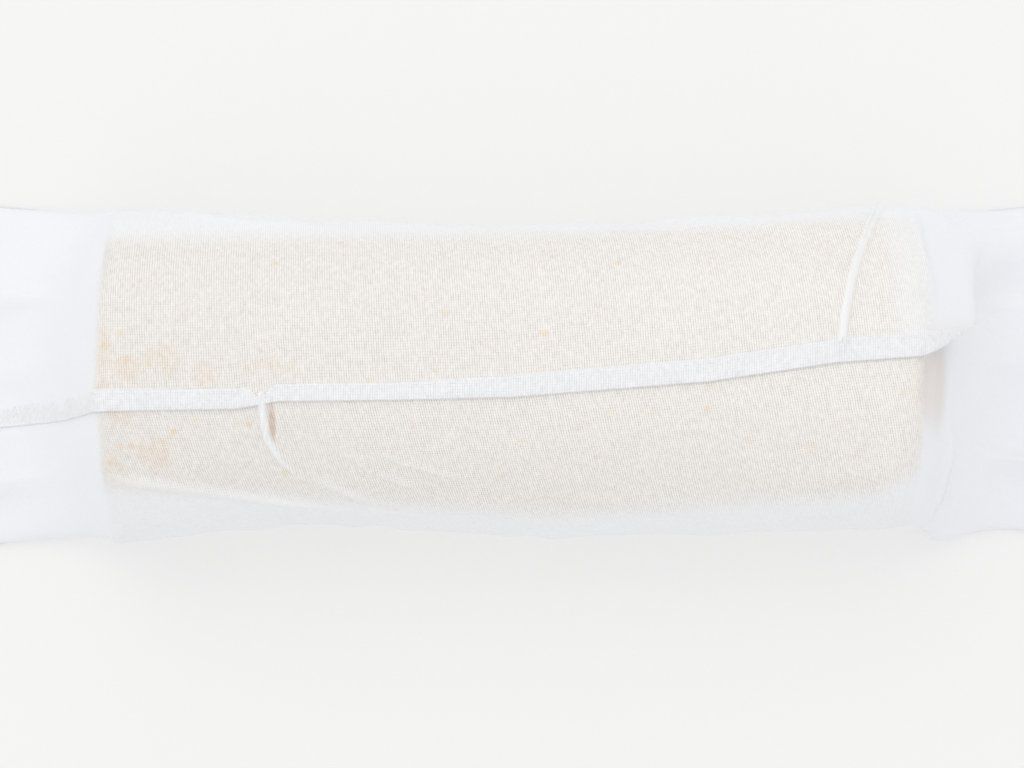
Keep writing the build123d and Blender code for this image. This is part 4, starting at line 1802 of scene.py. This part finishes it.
@dataclass
class Hems:
    """The sewn hems of the square and their machine stitching.

    Attributes:
        wrap: the cloth that they edge.
        cloth: their material.
        thread: the stitching's material.
        step: spacing along a hem.
        stitch_pitch: distance from one stitch to the next.
        seam_share: how far in from a hem's inner side its seam lies, as a share of its width.
        seam_proud: height of the free edge's seam.
        end_seam_proud: height of the seams across the tails' ends.
        width_points: the free edge hem's width, by place along the roll.
        plain_width: width of the other hems.
        corner_gap: what is left free of the end hems and of their seams at a tail's corners.
        twist_at: where along the roll the free edge is twisted.
        tip_taper: where the free edge's hem starts to narrow at the right, and over what length.
    """

    wrap: MuslinWrap
    cloth: bpy.types.Material
    thread: bpy.types.Material
    step: float = 0.8
    stitch_pitch: float = 2.8
    seam_share: float = 0.2
    seam_proud: float = 0.20
    end_seam_proud: float = 0.30
    width_points: Points = (
        (-200.0, 5.6), (-124.0, 6.2), (-100.0, 5.7), (-88.0, 4.9), (-60.0, 4.5), (-50.0, 3.8),
        (-26.0, 3.8), (0.0, 4.8), (43.0, 5.1), (90.0, 5.6), (124.0, 5.2), (200.0, 4.8),
    )
    plain_width: float = 4.8
    corner_gap: tuple[float, float] = (0.3, 2.0)
    twist_at: float = -54.6
    tip_taper: Span = (91.0, 20.0)

    def width(self, along: Array) -> Array:
        """The hem's width along the free edge: drawn in where the edge is twisted, and narrowed
        to a tip at the right.

        Args:
            along: places along the roll.

        Returns:
            The widths.
        """
        start, over = self.tip_taper
        tip = 1.0 - 0.95 * np.clip((along - start) / over, 0.0, 1.0)
        drawn_in = 1.0 - 0.62 * bell((along - self.twist_at) / 1.9)
        return between(along, self.width_points) * tip * drawn_in

    def _plain(self, name: str, path: Array, place: Callable[..., Array],
               uv_turn: bool = False) -> bpy.types.Object:
        """A hem of one width.

        Args:
            name: the piece's name.
            path: places along it.
            place: gives points from (path, across, proud).
            uv_turn: whether the weave runs across the path.

        Returns:
            The hem.
        """
        width = np.full_like(path, self.plain_width)
        return self.wrap.shop.strip(name, path, width, place, self.cloth, uv_turn)

    def _free(self, along: Array, across: Array, proud: Array) -> Array:
        """Points on the free edge's hem, which is raised at the twist and flatter on the left
        tail.

        Args:
            along: places along the roll.
            across: distances from the edge into the cloth.
            proud: heights above the cloth.

        Returns:
            Points in metres.
        """
        twist = 0.5 * bell((along - self.twist_at) / 1.6)
        flat = 0.2 * smooth((-along - 90.0) / 9.0)
        return self.wrap.drape.surface(across - 0.15, along, proud + twist - flat)

    def _start(self, along: Array, across: Array, proud: Array) -> Array:
        """Points on the start edge's hem, inside the roll."""
        drape = self.wrap.drape
        return drape.surface(drape.cloth_length - across, along, proud * 0.5 - 0.05)

    def _end(self, side: Side) -> Callable[..., Array]:
        """What gives the points on a tail's end hem, whose path runs round the sheet.

        Args:
            side: which end of the roll.

        Returns:
            A function of (cloth from the free edge, distance in from the end, height).
        """
        drape = self.wrap.drape
        end = drape.sizes.tail_end

        def place(rounds: Array, across: Array, proud: Array) -> Array:
            """Points from the cloth length, the distance in from the end and the height."""
            return drape.surface(rounds, side.value * (end - across), proud)

        return place

    def free_edge(self) -> list[tuple[bpy.types.Object, bpy.types.Object]]:
        """The hem and stitches of the free edge's three parts on the roll.

        Returns:
            (hem, stitches) of each part, from left to right.
        """
        made = []
        for word, side, low, high in self.wrap.flap_parts():
            path = spaced(low, high, self.step)
            hem = self.wrap.shop.strip(f"free_edge_hem_{word}", path, self.width(path),
                                       self._free, self.cloth)
            self.wrap.join_flap(hem, side, "muslin_hem", ("free_edge_hem",))
            seam = self._stitch(f"free_edge_stitches_{word}", low, high, self._free_seam)
            self.wrap.join_flap(seam, side, "thread", ("free_edge_stitching",))
            made.append((hem, seam))
        return made

    def _free_seam(self, along: Array, across: Array, proud: Array) -> Array:
        """Points of the seam beside the free edge hem's inner side."""
        inset = self.width(along) * (1.0 - self.seam_share)
        return self._free(along, inset + across, proud + self.seam_proud)

    def _stitch(self, name: str, low: float, high: float,
                place: Callable[..., Array]) -> bpy.types.Object:
        """A row of stitches along a path, centred between its ends.

        Args:
            name: the piece's name.
            low: where the path starts.
            high: where it ends.
            place: gives points from (path, across, proud).

        Returns:
            The stitches as one piece.
        """
        count = int((high - low) / self.stitch_pitch)
        spare = (high - low - (count - 1) * self.stitch_pitch) / 2.0
        middles = low + spare + np.arange(count) * self.stitch_pitch
        return self.wrap.shop.stitches(name, middles, place, self.thread)

    def tail_edges(self, side: Side) -> list[bpy.types.Object]:
        """The hems and stitches that run out along a tail's two cut edges and across its end.

        Args:
            side: which end of the roll.

        Returns:
            The pieces.
        """
        wrap, word = self.wrap, side.word
        half, end = wrap.drape.sizes.half_core, wrap.drape.sizes.tail_end
        low, high = sorted((side.value * half, side.value * end))
        path = spaced(low, high, self.step * 1.5)
        edge = wrap.shop.strip(f"{word}_tail_edge_hem_free", path, self.width(path), self._free,
                               self.cloth)
        wrap.join_tail(edge, side, "muslin_hem",
                       (f"{word}_tail_edge_hem", f"{word}_shoulder_hem"))
        seam = self._stitch(f"{word}_tail_stitches_free", low, high, self._free_seam)
        wrap.join_tail(seam, side, "thread", (f"{word}_tail_stitching",))
        start = self._plain(f"{word}_tail_edge_hem_start", path, self._start)
        wrap.join_tail(start, side, "muslin_hem", (f"{word}_tail_edge_hem",))
        return [edge, seam, start, *self._tail_end(side)]

    def _tail_end(self, side: Side) -> list[bpy.types.Object]:
        """The hem across a tail's end, and its stitches.

        Args:
            side: which end of the roll.

        Returns:
            The hem and the stitches.
        """
        wrap, word, place = self.wrap, side.word, self._end(side)
        length = wrap.drape.cloth_length
        hem_gap, seam_gap = self.corner_gap
        inset = self.plain_width - 1.0
        rounds = spaced(hem_gap, length - hem_gap, self.step * 1.6)
        hem = self._plain(f"{word}_tail_end_hem_strip", rounds, place, uv_turn=True)
        wrap.shop.join_to_frame(hem, "muslin_hem", [side.tail], nodes=(f"{word}_tail_end_hem",))

        def seam_place(rounds_: Array, across: Array, proud: Array) -> Array:
            """Points of the seam from the cloth length, the place across it and the height."""
            return place(rounds_, inset + across, proud + self.end_seam_proud)

        seam = self._stitch(f"{word}_tail_stitches_end", seam_gap, length - seam_gap, seam_place)
        wrap.shop.join_to_frame(seam, "thread", [side.tail], nodes=(f"{word}_tail_stitching",))
        return [hem, seam]

    def start_edge(self) -> bpy.types.Object:
        """The hem of the start edge, inside the roll at the front.

        Returns:
            The hem.
        """
        half = self.wrap.drape.sizes.half_core
        hem = self._plain("start_edge_hem_strip", spaced(-half, half, self.step * 2.0),
                          self._start)
        self.wrap.shop.join_to_frame(hem, "muslin_hem", [Body.ROLL], nodes=("start_edge_hem",))
        return hem


# ---- the herb core ------------------------------------------------------------------------------

@dataclass
class HerbCore:
    """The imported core: its filled bag, the bag's seams, and the herbs inside.

    Attributes:
        shop: what makes its meshes.
        finish: the bag's material.
        thread: the stitching's material.
        rim_round: radius of the bag's soft rims.
        end_bulge: how far the ends' middles stand out past the rims.
        lump: height of the lumps.
        deepest: how far in a lump can push the side.
        floor: height of the bag's flat underside.
        fill: how full the bag is.
        columns: points round the bag.
        lumps: the lumps' waves.
    """

    shop: Workshop
    finish: bpy.types.Material
    thread: bpy.types.Material
    rim_round: float = 1.6
    end_bulge: float = 1.0
    lump: float = 0.28
    deepest: float = 0.8
    floor: float = 1.3
    fill: float = 0.95
    columns: int = 150
    lumps: Ripple = Ripple(seed=33, rounds=16, shortest=14.0)

    def bag(self) -> bpy.types.Object:
        """The filled bag as one closed skin: a profile of (out, along) turned round the axis.

        The profile runs from the middle of one end, slightly bulged, round a soft rim and along
        the side to the other end. Lumps push the side in a little, and the underside is flat.

        Returns:
            The bag.
        """
        sizes = self.shop.drape.sizes
        corner = np.linspace(0.0, math.pi / 2.0, 7)
        radius = sizes.core_radius - 0.05
        flat = np.linspace(0.02, 1.0, 14)[:-1] * (radius - self.rim_round)
        half = sizes.half_core - 0.3
        bulge = self.end_bulge * (flat / radius) ** 2
        out = np.concatenate([flat, radius - self.rim_round * (1.0 - np.sin(corner))])
        back = np.concatenate([bulge, self.end_bulge + self.rim_round * (1.0 - np.cos(corner))])
        side = np.linspace(0.0, half - self.end_bulge - self.rim_round, 50)[1:-1]
        side_out = np.full(2 * len(side) + 1, radius)
        side_along = np.concatenate([-side[::-1], [0.0], side])
        profile_out = np.concatenate([out, side_out, out[::-1]])
        profile_x = np.concatenate([-half + back, side_along, half - back[::-1]])
        turn = np.arange(self.columns) * 2.0 * math.pi / self.columns
        x, angle = np.meshgrid(profile_x, turn, indexing="ij")
        reach = np.broadcast_to(profile_out[:, None], x.shape)
        on_side = smooth(reach / radius * 2.0 - 1.0)
        lump = self.lump * (self.lumps.height(angle, x) - 1.0) * on_side
        reach = reach + np.clip(lump, -self.deepest, 0.0)
        height = sizes.axis_height + reach * np.cos(angle)
        points = np.stack([x, reach * np.sin(angle), np.maximum(height, self.floor)], -1)
        rows = len(profile_x)
        poles = np.array([[-half, 0.0, sizes.axis_height], [half, 0.0, sizes.axis_height]])
        faces = self.shop.grid_faces(rows, self.columns, closed=True).tolist()
        ring = np.arange(self.columns)
        after, last = np.roll(ring, -1), (rows - 1) * self.columns
        pole = rows * self.columns
        faces += np.stack([after, ring, 0 * ring + pole], -1).tolist()
        faces += np.stack([ring + last, after + last, 0 * ring + pole + 1], -1).tolist()
        data = np.concatenate([points.reshape(-1, 3), poles]) * MM
        piece = self.shop.mesh("herb_bag", data, np.array(faces, dtype=object), self.finish)
        self.shop.face_outwards(piece)
        self.shop.join_to_frame(piece, "bag_cloth", [Body.ROLL],
                                nodes=("bag_tube", "bag_left_end", "bag_right_end"))
        return piece

    def dress(self) -> None:
        """Give every node that stays its own finish."""
        herb = {
            "herb_fill": HerbFinish("ground_herbs", (0.62, 0.47, 0.24), (0.27, 0.19, 0.09),
                                    scale=900.0, roughness=0.95, depth=0.0008),
            "plai_slices": HerbFinish("plai", (0.83, 0.66, 0.33), (0.55, 0.38, 0.16)),
            "turmeric_slices": HerbFinish("turmeric", (0.87, 0.47, 0.08), (0.60, 0.26, 0.04)),
            "lemongrass_cuts": HerbFinish("lemongrass", (0.74, 0.74, 0.46), (0.45, 0.47, 0.22),
                                          grain=9.0),
            "lime_peel_pieces": HerbFinish("lime_peel", (0.31, 0.42, 0.16), (0.12, 0.19, 0.06),
                                           scale=1400.0, roughness=0.6, depth=0.0005),
        }
        finishes = {node: finish.material() for node, finish in herb.items()}
        finishes["camphor_crystals"] = CrystalFinish("camphor", (0.95, 0.96, 0.97), 0.7).material()
        finishes["salt_grains"] = CrystalFinish("salt", (0.93, 0.92, 0.90), 0.15).material()
        for seam in ("bag_left_seam", "bag_right_seam", "bag_side_seam"):
            finishes[seam] = self.finish
        for stitching in ("bag_end_stitching", "bag_side_stitching"):
            finishes[stitching] = self.thread
        for node, material in finishes.items():
            data = frame["nodes"][node].data
            data.materials.clear()
            data.materials.append(material)
            log.info("%s: %s", node, material.name)


# ---- studio -------------------------------------------------------------------------------------

@dataclass
class Studio:
    """A pale table, an even white surround, one broad soft light and the camera above."""

    sky: Colour = (0.985, 0.992, 1.0)
    sky_strength: float = 0.97
    light_power: float = 5.5
    light_size: float = 1.4
    light_at: tuple[float, float, float] = (-0.45, 1.05, 1.6)
    light_colour: Colour = (1.0, 0.985, 0.96)
    camera_at: tuple[float, float, float] = (0.0002, -0.0019, 0.591)
    lens: float = 84.6
    sensor: float = 36.0
    table_reach: float = 6.0

    def table(self) -> None:
        """The table top, a wide plane under the roll."""
        reach = self.table_reach
        corners = np.array([[-reach, -reach, 0.0], [reach, -reach, 0.0],
                            [reach, reach, 0.0], [-reach, reach, 0.0]])
        data = bpy.data.meshes.new("table")
        data.from_pydata(corners, [], [(0, 1, 2, 3)])
        data.materials.append(TableFinish().material())
        top = bpy.data.objects.new("table", data)
        bpy.context.scene.collection.objects.link(top)

    def light(self) -> None:
        """The white surround and the broad light at the back left."""
        world = bpy.data.worlds.new("surround")
        world.use_nodes = True
        background = world.node_tree.nodes["Background"]
        background.inputs["Color"].default_value = (*self.sky, 1.0)
        background.inputs["Strength"].default_value = self.sky_strength
        bpy.context.scene.world = world
        lamp = bpy.data.lights.new("soft_light", "AREA")
        lamp.size, lamp.energy = self.light_size, self.light_power
        lamp.color = self.light_colour
        holder = bpy.data.objects.new("soft_light", lamp)
        holder.location = self.light_at
        holder.rotation_euler = Vector(self.light_at).to_track_quat("Z", "Y").to_euler()
        bpy.context.scene.collection.objects.link(holder)

    def camera(self) -> None:
        """The camera, looking straight down."""
        data = bpy.data.cameras.new("camera")
        data.lens, data.sensor_width, data.clip_start = self.lens, self.sensor, 0.01
        holder = bpy.data.objects.new("camera", data)
        holder.location = self.camera_at
        bpy.context.scene.collection.objects.link(holder)
        bpy.context.scene.camera = holder
        bpy.context.scene.view_settings.view_transform = "Standard"


def main() -> None:
    logging.basicConfig(level=logging.INFO, format="%(name)s: %(message)s")
    drape = Drape(RollSizes.from_frame())
    shop = Workshop(drape)
    cloth, hem_cloth = MuslinFinish().material(), HemFinish().material()
    thread = ThreadFinish().material()
    wrap = MuslinWrap(shop, cloth)
    hems = Hems(wrap, hem_cloth, thread)
    core = HerbCore(shop, BagFinish().material(), thread)
    studio = Studio()
    studio.camera()

    core.bag()
    core.dress()
    turns, start_hem = wrap.turns(), hems.start_edge()
    wound = drape.cloth_length - drape.flap_depth
    wound * MM
    edges = hems.free_edge()
    for (word, side, low, high), trim in zip(wrap.flap_parts(), edges):
        flap = wrap.flap(f"free_flap_{word}", low, high)
        wrap.join_flap(flap, side, "muslin", ("free_flap",))
        deep = float(drape.hinge_round(np.linspace(low, high, 50)).mean())
        (high - low) * MM
    for side in Side:
        tail = wrap.tail(side)
        trim = hems.tail_edges(side)
        drape.cloth_length * MM

    studio.table()
    studio.light()


if __name__ == "__main__":
    main()
